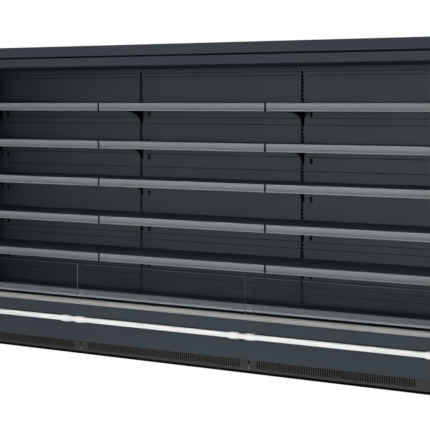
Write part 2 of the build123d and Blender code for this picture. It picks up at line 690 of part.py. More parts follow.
with BuildPart() as bumper_carrier:
    carrier_z = (BUMPER_AXIS - CARRIER_HEIGHT / 2, BUMPER_AXIS + CARRIER_HEIGHT / 2)
    block(WHOLE, (CARRIER_FRONT, PANEL_FACE), carrier_z)
bumper_carrier.part.label = "bumper_carrier"
export_step(bumper_carrier.part, "parts/bumper_carrier.step")


def bumper_section(front, height, ease, size):
    """A section that stands on the carrier, with its two front corners eased by fillet or chamfer."""
    with BuildSketch() as section:
        with Locations(((front + CARRIER_FRONT) / 2, BUMPER_AXIS)):
            Rectangle(CARRIER_FRONT - front, height)
        ease(section.vertices().group_by(Axis.X)[0], size)
    return section.sketch


with BuildPart() as bumper_rail:
    with BuildSketch(across(-HALF_LENGTH)):
        add(bumper_section(BUMPER_FRONT, BUMPER_HEIGHT, fillet, BUMPER_ROUND))
        hollow_height = BUMPER_HEIGHT - 2 * BUMPER_WALL
        hollow = bumper_section(BUMPER_FRONT + BUMPER_WALL, hollow_height, fillet, BUMPER_ROUND - BUMPER_WALL)
        add(hollow, mode=Mode.SUBTRACT)
    extrude(amount=2 * HALF_LENGTH)
bumper_rail.part.label = "bumper_rail"
export_step(bumper_rail.part, "parts/bumper_rail.step")

COLLARS = [joint + side * COLLAR_SPACING / 2 for joint in JOINTS for side in (-1, 1)]
COLLARS = [x for x in COLLARS if JOINTS[0] < x < JOINTS[-1]]

with BuildPart() as bumper_collars:
    for collar in COLLARS:
        with BuildSketch(across(collar - COLLAR_WIDTH / 2)):
            add(bumper_section(FRONT, COLLAR_HEIGHT, chamfer, COLLAR_CHAMFER))
            cavity_height = BUMPER_HEIGHT + 2 * SLOT_FIT
            cavity = bumper_section(BUMPER_FRONT - SLOT_FIT, cavity_height, chamfer, COLLAR_CAVITY_CHAMFER)
            add(cavity, mode=Mode.SUBTRACT)
        extrude(amount=COLLAR_WIDTH)
bumper_collars.part.label = "bumper_collars"
export_step(bumper_collars.part, "parts/bumper_collars.step")

# ================================================================== glass riser and return grille
with BuildPart() as glass_channel:
    cheek = CHANNEL_STEP
    grip = GLASS_BASE + CHANNEL_LIP
    slot_front = GLASS_FRONT - SLOT_FIT
    slot_rear = GLASS_REAR + SLOT_FIT
    channel_outline = (
        (RAIL_REAR, CHANNEL_BASE),
        (UPSTAND_REAR, CHANNEL_BASE),
        (UPSTAND_REAR, GRILLE_TOP - SHEET),
        (UPSTAND_FRONT, GRILLE_TOP - SHEET),
        (UPSTAND_FRONT, grip),
        (slot_rear, grip),
        (slot_rear, GLASS_BASE),
        (slot_front, GLASS_BASE),
        (slot_front, grip),
        (slot_front - cheek, grip),
        (slot_front - cheek, GLASS_BASE),
        (RAIL_REAR, GLASS_BASE),
    )
    extruded(ROW, channel_outline)
glass_channel.part.label = "glass_channel"
export_step(glass_channel.part, "parts/glass_channel.step")

for index, module_name in enumerate(MODULE_NAMES):
    with BuildPart() as glass:
        glass_z = (GLASS_BASE, GLASS_BASE + GLASS_HEIGHT)
        block(bay(index, GLASS_END_GAP), (GLASS_FRONT, GLASS_REAR), glass_z)
    glass.part.label = f"glass_panel_{module_name}"
    export_step(glass.part, f"parts/glass_panel_{module_name}.step")

LIP_FRONT = UPSTAND_FRONT - SHEET - TOUCH_GAP

with BuildPart() as return_air_grille:
    grille_outline = (
        (LIP_FRONT, GRILLE_TOP - GRILLE_LIP),
        (LIP_FRONT, GRILLE_TOP),
        (GRILLE_REAR, GRILLE_TOP),
        (GRILLE_REAR, WELL_SEAT),
    )
    folded(ROW, grille_outline, SHEET, Side.RIGHT)
    slot_y = LIP_FRONT + INTAKE_SETBACK
    for index in range(MODULES):
        centres = spread(*bay(index, 0), INTAKE_SLOTS)
        slot_y_range = (slot_y - INTAKE_WIDTH / 2, slot_y + INTAKE_WIDTH / 2)
        intake = MODULE_PITCH / INTAKE_SLOTS - INTAKE_BAR
        window_row(centres, slot_y_range, (GRILLE_TOP - SHEET, GRILLE_TOP), intake)
return_air_grille.part.label = "return_air_grille"
export_step(return_air_grille.part, "parts/return_air_grille.step")

# ================================================================== deck trays, lifted out by hand
for index, module_name in enumerate(MODULE_NAMES):
    left, right = bay(index, DECK_GAP)
    with BuildPart() as deck_tray:
        block((left, right), (DECK_FRONT, COIL_COVER_REAR), (WELL_SEAT + TOUCH_GAP, DECK_TOP))
        offset(amount=-SHEET, openings=deck_tray.faces().sort_by(Axis.Z)[0])
    deck_tray.part.label = f"deck_tray_{module_name}"
    export_step(deck_tray.part, f"parts/deck_tray_{module_name}.step")

# ================================================================== plinth
for index, module_name in enumerate(MODULE_NAMES):
    left, right = bay(index, PLINTH_JOINT / 2)
    blank = SERVICE_BLANK if index == MODULES - 1 else VENT_MARGIN
    vent_run = MODULE_PITCH - VENT_MARGIN - blank
    vents = floor(vent_run / VENT_PITCH)
    with BuildPart() as plinth_panel:
        plinth_outline = (
            (BEARER_FRONT, PLINTH_TOP),
            (PLINTH_FACE, PLINTH_TOP),
            (PLINTH_FACE, PLINTH_BASE),
            (BEARER_FRONT, PLINTH_BASE),
        )
        folded((left, right), plinth_outline, PLINTH_SHEET)
        with BuildSketch(Plane.XZ.offset(-PLINTH_FACE)):
            first = JOINTS[index] + VENT_MARGIN
            middle = (VENT_BOTTOM + VENT_TOP) / 2
            with Locations([(first + VENT_PITCH * i, middle) for i in range(vents + 1)]):
                Rectangle(VENT_WIDTH, VENT_TOP - VENT_BOTTOM)
            with Locations([(joint, BUTTON_AXIS) for joint in (JOINTS[index], JOINTS[index + 1])]):
                Rectangle(2 * (BUTTON_SHANK + SLOT_FIT), 2 * (BUTTON_SHANK + SLOT_FIT))
        extrude(amount=-PLINTH_SHEET, mode=Mode.SUBTRACT)
    plinth_panel.part.label = f"plinth_panel_{module_name}"
    export_step(plinth_panel.part, f"parts/plinth_panel_{module_name}.step")

with BuildPart() as plinth_seal:
    block(WHOLE, (PLINTH_FACE, PLINTH_FACE + SEAL_DEPTH), (0, PLINTH_BASE))
plinth_seal.part.label = "plinth_seal"
export_step(plinth_seal.part, "parts/plinth_seal.step")

with BuildPart() as plinth_fasteners:
    for joint in JOINTS[1:-1]:
        with BuildSketch(Plane.XZ.offset(-PLINTH_FACE)):
            with Locations((joint, BUTTON_AXIS)):
                RegularPolygon(BUTTON_RADIUS, 12)
        extrude(amount=BUTTON_HEAD)
        with BuildSketch(Plane.XZ.offset(-BEARER_FRONT)):
            with Locations((joint, BUTTON_AXIS)):
                RegularPolygon(BUTTON_SHANK, 6)
        extrude(amount=PLINTH_RETURN)
plinth_fasteners.part.label = "plinth_fasteners"
export_step(plinth_fasteners.part, "parts/plinth_fasteners.step")

# ================================================================== fan plate and coil
SEAT_UNDERSIDE = WELL_SEAT - PLENUM_SHEET
LEDGE_FRONT = GRILLE_REAR - PLENUM_LEDGE / 2
LEDGE_REAR = GRILLE_REAR + PLENUM_LEDGE / 2
FOOT_REAR = COIL_COVER_FRONT - PLENUM_COIL_GAP
FOOT_FRONT = FOOT_REAR - PLENUM_FOOT
SLOPE_RUN = FOOT_FRONT - LEDGE_REAR
SLOPE_DROP = SEAT_UNDERSIDE - TUB_TOP
SLOPE = atan2(SLOPE_DROP, SLOPE_RUN)


def fan_plane(x):
    """The plane of a fan's hole: its z axis leaves the plate upwards and to the rear."""
    middle = (x, (LEDGE_REAR + FOOT_FRONT) / 2, (SEAT_UNDERSIDE + TUB_TOP) / 2)
    return Plane(origin=middle, x_dir=(1, 0, 0), z_dir=(0, sin(SLOPE), cos(SLOPE)))


with BuildPart() as fan_plenum:
    plenum_outline = (
        (LEDGE_FRONT, SEAT_UNDERSIDE),
        (LEDGE_REAR, SEAT_UNDERSIDE),
        (FOOT_FRONT, TUB_TOP),
        (FOOT_REAR, TUB_TOP),
    )
    folded(ROW, plenum_outline, PLENUM_SHEET)
    for x in MODULE_CENTRES:
        with BuildSketch(fan_plane(x)) as hole:
            RegularPolygon(FAN_HOLE_RADIUS, FAN_HOLE_SIDES)
        extrude(hole.sketch, amount=2 * PLENUM_SHEET, both=True, mode=Mode.SUBTRACT)
fan_plenum.part.label = "fan_plenum"
export_step(fan_plenum.part, "parts/fan_plenum.step")

BLADE_TIP = ((FAN_HOLE_RADIUS - FAN_TIP_GAP) ** 2 - (BLADE_CHORD / 2 - BLADE_CLIP) ** 2) ** 0.5
BLADE_OUTLINE = (
    (FAN_HUB_RADIUS / 2, -BLADE_ROOT_CHORD / 2),
    (BLADE_TIP - BLADE_CLIP, -BLADE_CHORD / 2),
    (BLADE_TIP, BLADE_CLIP - BLADE_CHORD / 2),
    (BLADE_TIP, BLADE_CHORD / 2 - BLADE_CLIP),
    (BLADE_TIP - BLADE_CLIP, BLADE_CHORD / 2),
    (FAN_HUB_RADIUS / 2, BLADE_ROOT_CHORD / 2),
)

for x, module_name in zip(MODULE_CENTRES, MODULE_NAMES):
    with BuildPart() as rotor:
        with BuildSketch(fan_plane(x).offset(-FAN_HUB_DEPTH / 2)):
            RegularPolygon(FAN_HUB_RADIUS, 2 * FAN_BLADES)
        extrude(amount=FAN_HUB_DEPTH)
        for i in range(FAN_BLADES):
            turn = Rotation(0, 0, (i + 0.5) * 360 / FAN_BLADES) * Rotation(BLADE_ANGLE, 0, 0)
            with BuildSketch(fan_plane(x) * turn):
                with BuildLine():
                    Polyline(*BLADE_OUTLINE, close=True)
                make_face()
            extrude(amount=BLADE_SHEET / 2, both=True)
    rotor.part.label = f"fan_rotor_{module_name}"
    export_step(rotor.part, f"parts/fan_rotor_{module_name}.step")

with BuildPart() as fan_motors:
    arm_reach = FAN_HOLE_RADIUS + ARM_FOOT
    foot_height = MOTOR_STANDOFF - PLENUM_SHEET
    for x in MODULE_CENTRES:
        with BuildSketch(fan_plane(x).offset(MOTOR_STANDOFF)) as motor_can:
            RegularPolygon(MOTOR_RADIUS, 12)
        extrude(motor_can.sketch, amount=MOTOR_DEPTH)
        with Locations(fan_plane(x).offset(MOTOR_STANDOFF)):
            with PolarLocations(arm_reach / 2, SPIDER_ARMS, start_angle=90):
                Box(arm_reach, ARM_WIDTH, ARM_SHEET, align=(Align.CENTER, Align.CENTER, Align.MIN))
            with PolarLocations(arm_reach - ARM_FOOT / 2 + ARM_FOOT / 4, SPIDER_ARMS, start_angle=90):
                Box(ARM_FOOT / 2, ARM_WIDTH, foot_height, align=(Align.CENTER, Align.CENTER, Align.MAX))
        with BuildSketch(fan_plane(x).offset(FAN_HUB_DEPTH / 2 + TOUCH_GAP)) as spindle:
            RegularPolygon(MOTOR_SPINDLE, 6)
        extrude(spindle.sketch, amount=MOTOR_STANDOFF - FAN_HUB_DEPTH / 2 - TOUCH_GAP)
fan_motors.part.label = "fan_motors"
export_step(fan_motors.part, "parts/fan_motors.step")

COIL_X = (-HALF_ROW + COIL_END_GAP, HALF_ROW - COIL_END_GAP)

FINS_Y = (COIL_COVER_FRONT + COIL_OVERHANG, COIL_COVER_REAR - COIL_OVERHANG)
HEADER_BASE = TUB_TOP + HEADER_HEIGHT

with BuildPart() as evaporator_coil:
    block(COIL_X, (COIL_COVER_FRONT, COIL_COVER_REAR), (WELL_SEAT - SHEET, WELL_SEAT))
    block(COIL_X, FINS_Y, (TUB_TOP, WELL_SEAT - SHEET))
    plate_step = (COIL_X[1] - COIL_X[0] - COIL_PLATE) / (COIL_PLATES - 1)
    for i in range(COIL_PLATES):
        plate = COIL_X[0] + plate_step * i
        block((plate, plate + COIL_PLATE), (COIL_COVER_FRONT, COIL_COVER_REAR), (TUB_TOP, WELL_SEAT - SHEET))
    header_y = (LIQUID_Y - PIPE_SPACING / 2, SUCTION_Y + PIPE_SPACING / 2)
    block((COIL_X[1], COIL_X[1] + HEADER_WIDTH), header_y, (HEADER_BASE, WELL_SEAT - SHEET))
evaporator_coil.part.label = "evaporator_coil"
export_step(evaporator_coil.part, "parts/evaporator_coil.step")

with BuildPart() as refrigerant_pipes:
    for pipe_y, stub_radius in ((SUCTION_Y, SUCTION_RADIUS), (LIQUID_Y, LIQUID_RADIUS)):
        with Locations((PIPE_X, pipe_y, STUB_BASE)):
            Cylinder(stub_radius, STUB_LENGTH, align=upright_on_base)
        with BuildSketch(Plane.XY.offset(STUB_TOP)):
            with Locations((PIPE_X, pipe_y)):
                RegularPolygon(stub_radius - PIPE_SWAGE, ROUND_SIDES)
        extrude(amount=HEADER_BASE - STUB_TOP)
refrigerant_pipes.part.label = "refrigerant_pipes"
export_step(refrigerant_pipes.part, "parts/refrigerant_pipes.step")
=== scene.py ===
import json
import math
import bpy
import bmesh
from mathutils import Matrix, Vector


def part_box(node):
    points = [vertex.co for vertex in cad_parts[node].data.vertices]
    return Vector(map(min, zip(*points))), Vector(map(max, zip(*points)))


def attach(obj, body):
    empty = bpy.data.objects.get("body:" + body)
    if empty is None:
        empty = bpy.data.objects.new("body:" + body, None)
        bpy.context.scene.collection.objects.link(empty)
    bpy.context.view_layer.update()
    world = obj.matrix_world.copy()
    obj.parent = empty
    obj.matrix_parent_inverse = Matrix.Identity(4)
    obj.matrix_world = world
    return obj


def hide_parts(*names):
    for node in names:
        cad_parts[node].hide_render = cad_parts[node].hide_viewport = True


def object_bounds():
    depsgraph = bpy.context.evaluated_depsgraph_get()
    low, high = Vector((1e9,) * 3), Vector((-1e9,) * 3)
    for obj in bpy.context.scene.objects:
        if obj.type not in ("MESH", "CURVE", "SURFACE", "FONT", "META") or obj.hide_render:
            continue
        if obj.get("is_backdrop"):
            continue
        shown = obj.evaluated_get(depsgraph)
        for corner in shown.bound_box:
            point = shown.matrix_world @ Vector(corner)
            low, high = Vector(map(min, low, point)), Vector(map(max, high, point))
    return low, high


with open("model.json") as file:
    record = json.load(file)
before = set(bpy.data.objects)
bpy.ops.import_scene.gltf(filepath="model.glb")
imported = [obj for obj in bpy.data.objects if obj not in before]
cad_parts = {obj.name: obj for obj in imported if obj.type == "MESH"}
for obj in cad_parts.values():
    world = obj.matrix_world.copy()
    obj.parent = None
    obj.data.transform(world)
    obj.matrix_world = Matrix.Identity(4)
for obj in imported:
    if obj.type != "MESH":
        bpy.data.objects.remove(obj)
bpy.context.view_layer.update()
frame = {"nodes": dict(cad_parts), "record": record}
nodes = frame["nodes"]
MM = 0.001

# ---------------------------------------- stations shared with the part, in metres
MODULES = ("left", "middle", "right")
MODULE_PITCH = 1.250
JOINTS = [MODULE_PITCH * (i - 1.5) for i in range(4)]
MODULE_CENTRES = [MODULE_PITCH * (i - 1) for i in range(3)]
SHELF_LEVELS = (1, 2, 3, 4, 5)  # from the top down
SHELF_PITCH = 0.250

PLINTH_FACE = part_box("plinth_panel_left")[0].y
RAIL_LOW, RAIL_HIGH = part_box("hand_rail")
BUMPER_LOW, BUMPER_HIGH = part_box("bumper_rail")
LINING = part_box("back_panel_left")[0].y
UPRIGHT_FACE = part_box("upright_2")[0].y


# ---------------------------------------- colours, written as sRGB
def rgb(r, g, b):
    """An sRGB colour in 0-255 as the linear colour that a shader takes."""
    def linear(v):
        v /= 255
        return v / 12.92 if v <= 0.04045 else ((v + 0.055) / 1.055) ** 2.4
    return (linear(r), linear(g), linear(b), 1.0)


def scaled(colour, k):
    return (colour[0] * k, colour[1] * k, colour[2] * k, 1.0)


# ---------------------------------------- procedural materials
class Nodes:
    """Short calls for one material's node tree. Coordinates are the part's own, in metres."""

    def __init__(self, name):
        self.material = bpy.data.materials.new(name)
        self.material.use_nodes = True
        self.tree = self.material.node_tree
        self.shader = self.tree.nodes["Principled BSDF"]
        self.place = self.tree.nodes.new("ShaderNodeTexCoord").outputs["Object"]

    def node(self, kind, **values):
        """A new node, with its own settings."""
        made = self.tree.nodes.new(kind)
        for key, value in values.items():
            setattr(made, key, value)
        return made

    def link(self, output, target):
        self.tree.links.new(output, target)

    def stretched(self, x, y, z):
        """The part's coordinates, scaled along each axis."""
        mapping = self.node("ShaderNodeMapping")
        mapping.inputs["Scale"].default_value = (x, y, z)
        self.link(self.place, mapping.inputs["Vector"])
        return mapping.outputs["Vector"]

    def noise(self, scale, detail=2.0, rough=0.5, vector=None):
        made = self.node("ShaderNodeTexNoise")
        made.inputs["Scale"].default_value = scale
        made.inputs["Detail"].default_value = detail
        made.inputs["Roughness"].default_value = rough
        self.link(vector or self.place, made.inputs["Vector"])
        return made.outputs["Fac"]

    def axis(self, name):
        """The part's own X, Y or Z at each point."""
        split = self.node("ShaderNodeSeparateXYZ")
        self.link(self.place, split.inputs["Vector"])
        return split.outputs[name]

    def math(self, operation, first, second=0.0):
        made = self.node("ShaderNodeMath", operation=operation)
        for value, target in ((first, made.inputs[0]), (second, made.inputs[1])):
            if isinstance(value, float):
                target.default_value = value
            else:
                self.link(value, target)
        return made.outputs["Value"]

    def spread(self, source, low, high, start=0.3, stop=0.7):
        """A value that runs from start to stop, mapped to low and high."""
        made = self.node("ShaderNodeMapRange")
        made.inputs["From Min"].default_value = start
        made.inputs["From Max"].default_value = stop
        made.inputs["To Min"].default_value = low
        made.inputs["To Max"].default_value = high
        self.link(source, made.inputs["Value"])
        return made.outputs["Result"]

    def blend(self, source, dark, light, start=0.3, stop=0.7):
        """A colour between two, by a value that runs from start to stop."""
        ramp = self.node("ShaderNodeValToRGB")
        ramp.color_ramp.elements[0].position = start
        ramp.color_ramp.elements[0].color = dark
        ramp.color_ramp.elements[1].position = stop
        ramp.color_ramp.elements[1].color = light
        self.link(source, ramp.inputs["Fac"])
        return ramp.outputs["Color"]

    def mix(self, factor, first, second):
        """The first colour where the factor is 0, and the second where it is 1."""
        made = self.node("ShaderNodeMix", data_type="RGBA")
        self.link(factor, made.inputs[0])  # by number, as the names repeat for each data type
        for value, target in ((first, made.inputs[6]), (second, made.inputs[7])):
            if isinstance(value, tuple):
                target.default_value = value
            else:
                self.link(value, target)
        return made.outputs[2]

    def bump(self, source, depth, strength):
        made = self.node("ShaderNodeBump")
        made.inputs["Distance"].default_value = depth
        made.inputs["Strength"].default_value = strength
        self.link(source, made.inputs["Height"])
        self.link(made.outputs["Normal"], self.shader.inputs["Normal"])

    def surface(self, colour, roughness):
        """Links the base colour and the roughness."""
        self.link(colour, self.shader.inputs["Base Color"])
        self.link(roughness, self.shader.inputs["Roughness"])

    def varied(self, source, colour, low, high, start=0.3, stop=0.7):
        """A colour made darker and lighter by a value."""
        return self.blend(source, scaled(colour, low), scaled(colour, high), start, stop)

    def set(self, **values):
        """Plain values on the shader's own sockets."""
        for key, value in values.items():
            self.shader.inputs[key.replace("_", " ")].default_value = value


DUST = rgb(120, 122, 124)
SEAM = rgb(10, 11, 12)
SEAM_WIDTH = 0.0016
JOINT_PHASE = 1.5  # in pitches: the whole numbers fall on the joints
CLOUD = 0.05  # share by which a coat's tone varies


def powder_coat(name, colour, rough=0.5, gloss=0.12, peel=0.00005, seams=False, marks=0.05):
    """Satin powder coat on steel: orange peel about 1.5 mm across, faint clouds, dust and handling marks."""
    m = Nodes(name)
    paint = m.varied(m.noise(1.7, 3.0), colour, 1 - CLOUD, 1 + CLOUD)
    paint = m.mix(m.spread(m.noise(420.0, 2.0, 0.7), 0.0, 0.03, 0.58, 0.72), paint, DUST)
    if seams:
        paint = m.mix(panel_seams(m), paint, SEAM)
    m.surface(paint, m.spread(m.noise(14.0, 4.0, 0.62), rough - marks, rough + 1.6 * marks))
    m.bump(m.noise(640.0, 1.0), peel, 0.5)
    m.set(Specular_IOR_Level=gloss)
    return m.material


def panel_seams(m):
    """1 where two foam panels meet, at the inner joints of the modules, and 0 elsewhere."""
    along = m.math("FRACT", m.math("ADD", m.math("DIVIDE", m.axis("X"), MODULE_PITCH), JOINT_PHASE))
    off_joint = m.math("ABSOLUTE", m.math("SUBTRACT", along, 0.5))
    from_joint = m.math("MULTIPLY", m.math("SUBTRACT", 0.5, off_joint), MODULE_PITCH)
    inner = m.math("LESS_THAN", m.math("ABSOLUTE", m.axis("X")), MODULE_PITCH)
    return m.math("MULTIPLY", m.math("LESS_THAN", from_joint, SEAM_WIDTH / 2), inner)


def plastic(name, colour, rough, gloss):
    """Moulded or extruded plastic, or a dull anodised bar, with a fine eroded grain."""
    m = Nodes(name)
    m.surface(m.varied(m.noise(5.0, 2.0), colour, 0.97, 1.03),
              m.spread(m.noise(30.0, 3.0), rough - 0.04, rough + 0.06))
    m.bump(m.noise(1500.0, 2.0), 0.00003, 0.4)
    m.set(Specular_IOR_Level=gloss)
    return m.material


def label_holder(name, top, foot, base, height):
    """Clear label pocket on a silver strip, with a painted sheen: the backing is painted lighter at a strip's
    top than at its foot, where light falls on it.
    """
    m = Nodes(name)
    shelves_up = m.math("DIVIDE", m.math("SUBTRACT", m.axis("Z"), base), SHELF_PITCH)
    up_the_strip = m.math("DIVIDE", m.math("FRACT", shelves_up), height / SHELF_PITCH)
    # painted sheen: up each strip the tone runs from the darker foot colour to the lighter top colour
    tone = m.blend(up_the_strip, foot, top, 0.15, 0.75)
    m.surface(m.mix(m.spread(m.noise(5.0, 2.0), 0.0, 0.12), tone, foot),
              m.spread(m.noise(30.0, 3.0), 0.42, 0.52))
    m.bump(m.noise(1500.0, 2.0), 0.00002, 0.4)
    m.set(Specular_IOR_Level=0.16)
    return m.material


def drawn_metal(name, colour, rough, scale):
    """Drawn or rolled metal: fine lines along the axis with the smallest scale."""
    m = Nodes(name)
    lines = m.noise(1.0, 3.0, 0.6, m.stretched(*scale))
    m.surface(m.varied(lines, colour, 0.9, 1.08), m.spread(lines, rough - 0.05, rough + 0.1))
    m.bump(lines, 0.00004, 0.3)
    m.set(Metallic=1.0)
    return m.material


def galvanised(name, colour):
    """Hot-dip zinc: spangle crystals of about 8 mm with their own tone and gloss."""
    m = Nodes(name)
    cells = m.node("ShaderNodeTexVoronoi")
    cells.inputs["Scale"].default_value = 110.0
    m.link(m.place, cells.inputs["Vector"])
    tone = m.node("ShaderNodeSeparateColor")
    m.link(cells.outputs["Color"], tone.inputs["Color"])
    m.surface(m.varied(tone.outputs["Red"], colour, 0.8, 1.12, 0.0, 1.0),
              m.spread(tone.outputs["Green"], 0.34, 0.55, 0.0, 1.0))
    m.bump(tone.outputs["Blue"], 0.00003, 0.3)
    m.set(Metallic=0.9)
    return m.material


def rubber(name, colour):
    """Extruded rubber, dull, with dust in its grain."""
    m = Nodes(name)
    m.surface(m.varied(m.noise(40.0, 3.0), colour, 0.8, 1.3), m.spread(m.noise(90.0, 2.0), 0.7, 0.85))
    m.bump(m.noise(900.0, 2.0), 0.00008, 0.5)
    m.set(Specular_IOR_Level=0.06)
    return m.material


def glass(name):
    """Float glass with a low-reflection coat, faintly blue, with the smears of a wiped pane."""
    m = Nodes(name)
    m.set(Base_Color=(0.45, 0.53, 0.60, 1.0), Transmission_Weight=1.0, IOR=1.15,
          Specular_IOR_Level=0.3, Alpha=0.18)
    m.link(m.spread(m.noise(9.0, 4.0, 0.65), 0.0, 0.03), m.shader.inputs["Roughness"])
    m.bump(m.noise(3.0, 1.0), 0.0002, 0.02)
    return m.material


def ground_edge(name, colour):
    """The ground and polished edge of a pane: faintly green and partly clear."""
    m = Nodes(name)
    m.surface(m.varied(m.noise(60.0, 3.0), colour, 0.85, 1.15), m.spread(m.noise(200.0, 2.0), 0.3, 0.5))
    m.set(Specular_IOR_Level=0.3, Transmission_Weight=0.25)
    return m.material


mats = {
    "fascia_paint": powder_coat("fascia_paint", rgb(53, 60, 66), 0.5, 0.1),
    "foam_panel": powder_coat("foam_panel", rgb(60, 66, 72), 0.55, seams=True),
    "lining_paint": powder_coat("lining_paint", rgb(60, 66, 71), 0.34, 0.2, peel=0.00002, marks=0.012),
    "liner_paint": powder_coat("liner_paint", rgb(52, 61, 68), 0.55, 0.1),
    "shelf_paint": powder_coat("shelf_paint", rgb(74, 86, 98), 0.5, 0.1),
    "deck_paint": powder_coat("deck_paint", rgb(58, 64, 70), 0.5, 0.1),
    "grille_paint": powder_coat("grille_paint", rgb(150, 155, 160), 0.5, 0.14),
    "upright_paint": powder_coat("upright_paint", rgb(84, 88, 92), 0.4, 0.2),
    "bracket_paint": powder_coat("bracket_paint", rgb(9, 11, 14), 0.55, 0.06),
    "plinth_paint": powder_coat("plinth_paint", rgb(63, 63, 62), 0.6, 0.1),
    "motor_paint": powder_coat("motor_paint", rgb(30, 31, 33), 0.6),
    "galvanised_steel": galvanised("galvanised_steel", rgb(168, 171, 174)),
    "rail_aluminium": plastic("rail_aluminium", rgb(143, 143, 143), 0.45, 0.2),
    "coil_aluminium": drawn_metal("coil_aluminium", rgb(190, 192, 195), 0.35, (600.0, 8.0, 8.0)),
    "copper_pipe": drawn_metal("copper_pipe", rgb(188, 112, 74), 0.25, (400.0, 400.0, 4.0)),
    "strip_plastic": plastic("strip_plastic", rgb(124, 127, 128), 0.5, 0.16),
    "bumper_plastic": plastic("bumper_plastic", rgb(228, 228, 228), 0.35, 0.3),
    "black_plastic": plastic("black_plastic", rgb(9, 10, 12), 0.55, 0.06),
    "fan_plastic": plastic("fan_plastic", rgb(22, 23, 26), 0.45, 0.2),
    "seal_rubber": rubber("seal_rubber", rgb(8, 8, 9)),
    "riser_glass": glass("riser_glass"),
}
GLASS_EDGE = ground_edge("glass_edge", rgb(78, 92, 93))
GLASS_END_PAINTED_HIGHLIGHT = ground_edge("glass_end_painted_glint", rgb(166, 176, 178))  # painted highlight: the left pane's end is drawn light, where it catches the light
# painted shade: a darker copy of the fascia paint, for the canopy bands
CANOPY_SHADED_PAINT = powder_coat("canopy_paint_painted_shade", rgb(48, 54, 60), 0.5, 0.1)
low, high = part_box("price_strips_5")
# painted sheen on the strips' label holders: lighter at each strip's top, darker at its foot
STRIP_LABEL_PAINTED_SHEEN = label_holder("strip_label_painted_sheen", rgb(124, 127, 129), rgb(88, 91, 93), low.z, high.z - low.z)
RAIL_INSERT = plastic("rail_insert", rgb(150, 149, 147), 0.5, 0.2)
BUMPER_LINE = plastic("bumper_groove_shade", rgb(204, 205, 206), 0.5, 0.2)

finish_of = {p["node"]: mats[p["material_slot"]] for p in frame["record"]["subparts"]}
# the canopy bands take the darker copy of the fascia paint: painted shade
finish_of["canopy_upper_band"] = finish_of["canopy_lower_band"] = CANOPY_SHADED_PAINT
for name, node in nodes.items():
    node.data.materials.clear()
    node.data.materials.append(finish_of[name])


# ---------------------------------------- mesh tools
def piece(name, body, slot, mesh, material=None, replaces=()):
    """A new object on a body, from a bmesh, with its material slot's finish."""
    data = bpy.data.meshes.new(name)
    mesh.to_mesh(data)
    mesh.free()
    made = bpy.data.objects.new(name, data)
    bpy.context.scene.collection.objects.link(made)
    data.materials.append(material or mats[slot])
    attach(made, body)
    if replaces:
        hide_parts(*replaces)
    return made


def add_block(bm, low, high):
    """A closed block between two corners."""
    (x0, y0, z0), (x1, y1, z1) = low, high
    v = [bm.verts.new(c) for c in ((x0, y0, z0), (x1, y0, z0), (x1, y1, z0), (x0, y1, z0),
                                   (x0, y0, z1), (x1, y0, z1), (x1, y1, z1), (x0, y1, z1))]
    for quad in ((3, 2, 1, 0), (4, 5, 6, 7), (0, 1, 5, 4), (1, 2, 6, 5), (2, 3, 7, 6), (3, 0, 4, 7)):
        bm.faces.new([v[i] for i in quad])


def add_prism(bm, outline, x0, x1):
    """A closed (y, z) outline extruded along x, with flat ends."""
    near = [bm.verts.new((x0, y, z)) for y, z in outline]
    far = [bm.verts.new((x1, y, z)) for y, z in outline]
    count = len(outline)
    for i in range(count):
        j = (i + 1) % count
        bm.faces.new((near[i], near[j], far[j], far[i]))
    bm.faces.new(near[::-1])
    bm.faces.new(far)


def add_tube(bm, outer, inner, x0, x1):
    """A hollow profile along x, between two (y, z) outlines with the same number of points."""
    rings = []
    for x, line in ((x0, inner), (x0, outer), (x1, outer), (x1, inner)):
        rings.append([bm.verts.new((x, y, z)) for y, z in line])
    count = len(outer)
    for first, second in zip(rings, rings[1:] + rings[:1]):
        for i in range(count):
            j = (i + 1) % count
            bm.faces.new((first[i], first[j], second[j], second[i]))


def add_lathe(bm, profile, place, steps=32):
    """A (radius, height) profile turned about the local Z axis of place, a matrix."""
    rings = []
    for radius, height in profile:
        if radius == 0:
            rings.append([bm.verts.new(place @ Vector((0, 0, height)))])
        else:
            angles = [2 * math.pi * k / steps for k in range(steps)]
            rings.append([bm.verts.new(place @ Vector((radius * math.cos(a), radius * math.sin(a), height)))
                          for a in angles])
    for first, second in zip(rings, rings[1:]):
        for k in range(steps):
            n = (k + 1) % steps
            loop = [first[k % len(first)], first[n % len(first)],
                    second[n % len(second)], second[k % len(second)]]
            loop = [v for i, v in enumerate(loop) if v not in loop[:i]]
            if len(loop) > 2:
                bm.faces.new(loop)


def outward(*meshes):
    """Turns the faces of closed forms outward."""
    for mesh in meshes:
        bmesh.ops.recalc_face_normals(mesh, faces=mesh.faces)


def arc(centre, radius, start, stop, steps):
    """Points on an arc in (y, z), from one angle to another in degrees."""
    angles = [math.radians(start + (stop - start) * k / steps) for k in range(steps + 1)]
    return [(centre[0] + radius * math.cos(a), centre[1] + radius * math.sin(a)) for a in angles]


HARD_EDGE = 35  # degrees


def eased(made, width, segments=2):
    """Rounds the hard edges of a piece or a node, with a modifier."""
    weld = made.modifiers.new("weld", "WELD")
    weld.merge_threshold = 0.00001
    bevel = made.modifiers.new("bevel", "BEVEL")
    bevel.width = width
    bevel.segments = segments
    bevel.limit_method = "ANGLE"
    bevel.angle_limit = math.radians(HARD_EDGE)
    bevel.harden_normals = True


def repeated(made, step, count):
    """Repeats a piece along x, with a modifier."""
    array = made.modifiers.new("repeat", "ARRAY")
    array.use_relative_offset = False
    array.use_constant_offset = True
    array.constant_offset_displace = (step, 0, 0)
    array.count = count


def smoothed(made, angle=40):
    """Smooth shading that stops at edges sharper than an angle."""
    made.data.shade_smooth()
    split = made.modifiers.new("split", "EDGE_SPLIT")
    split.split_angle = math.radians(angle)


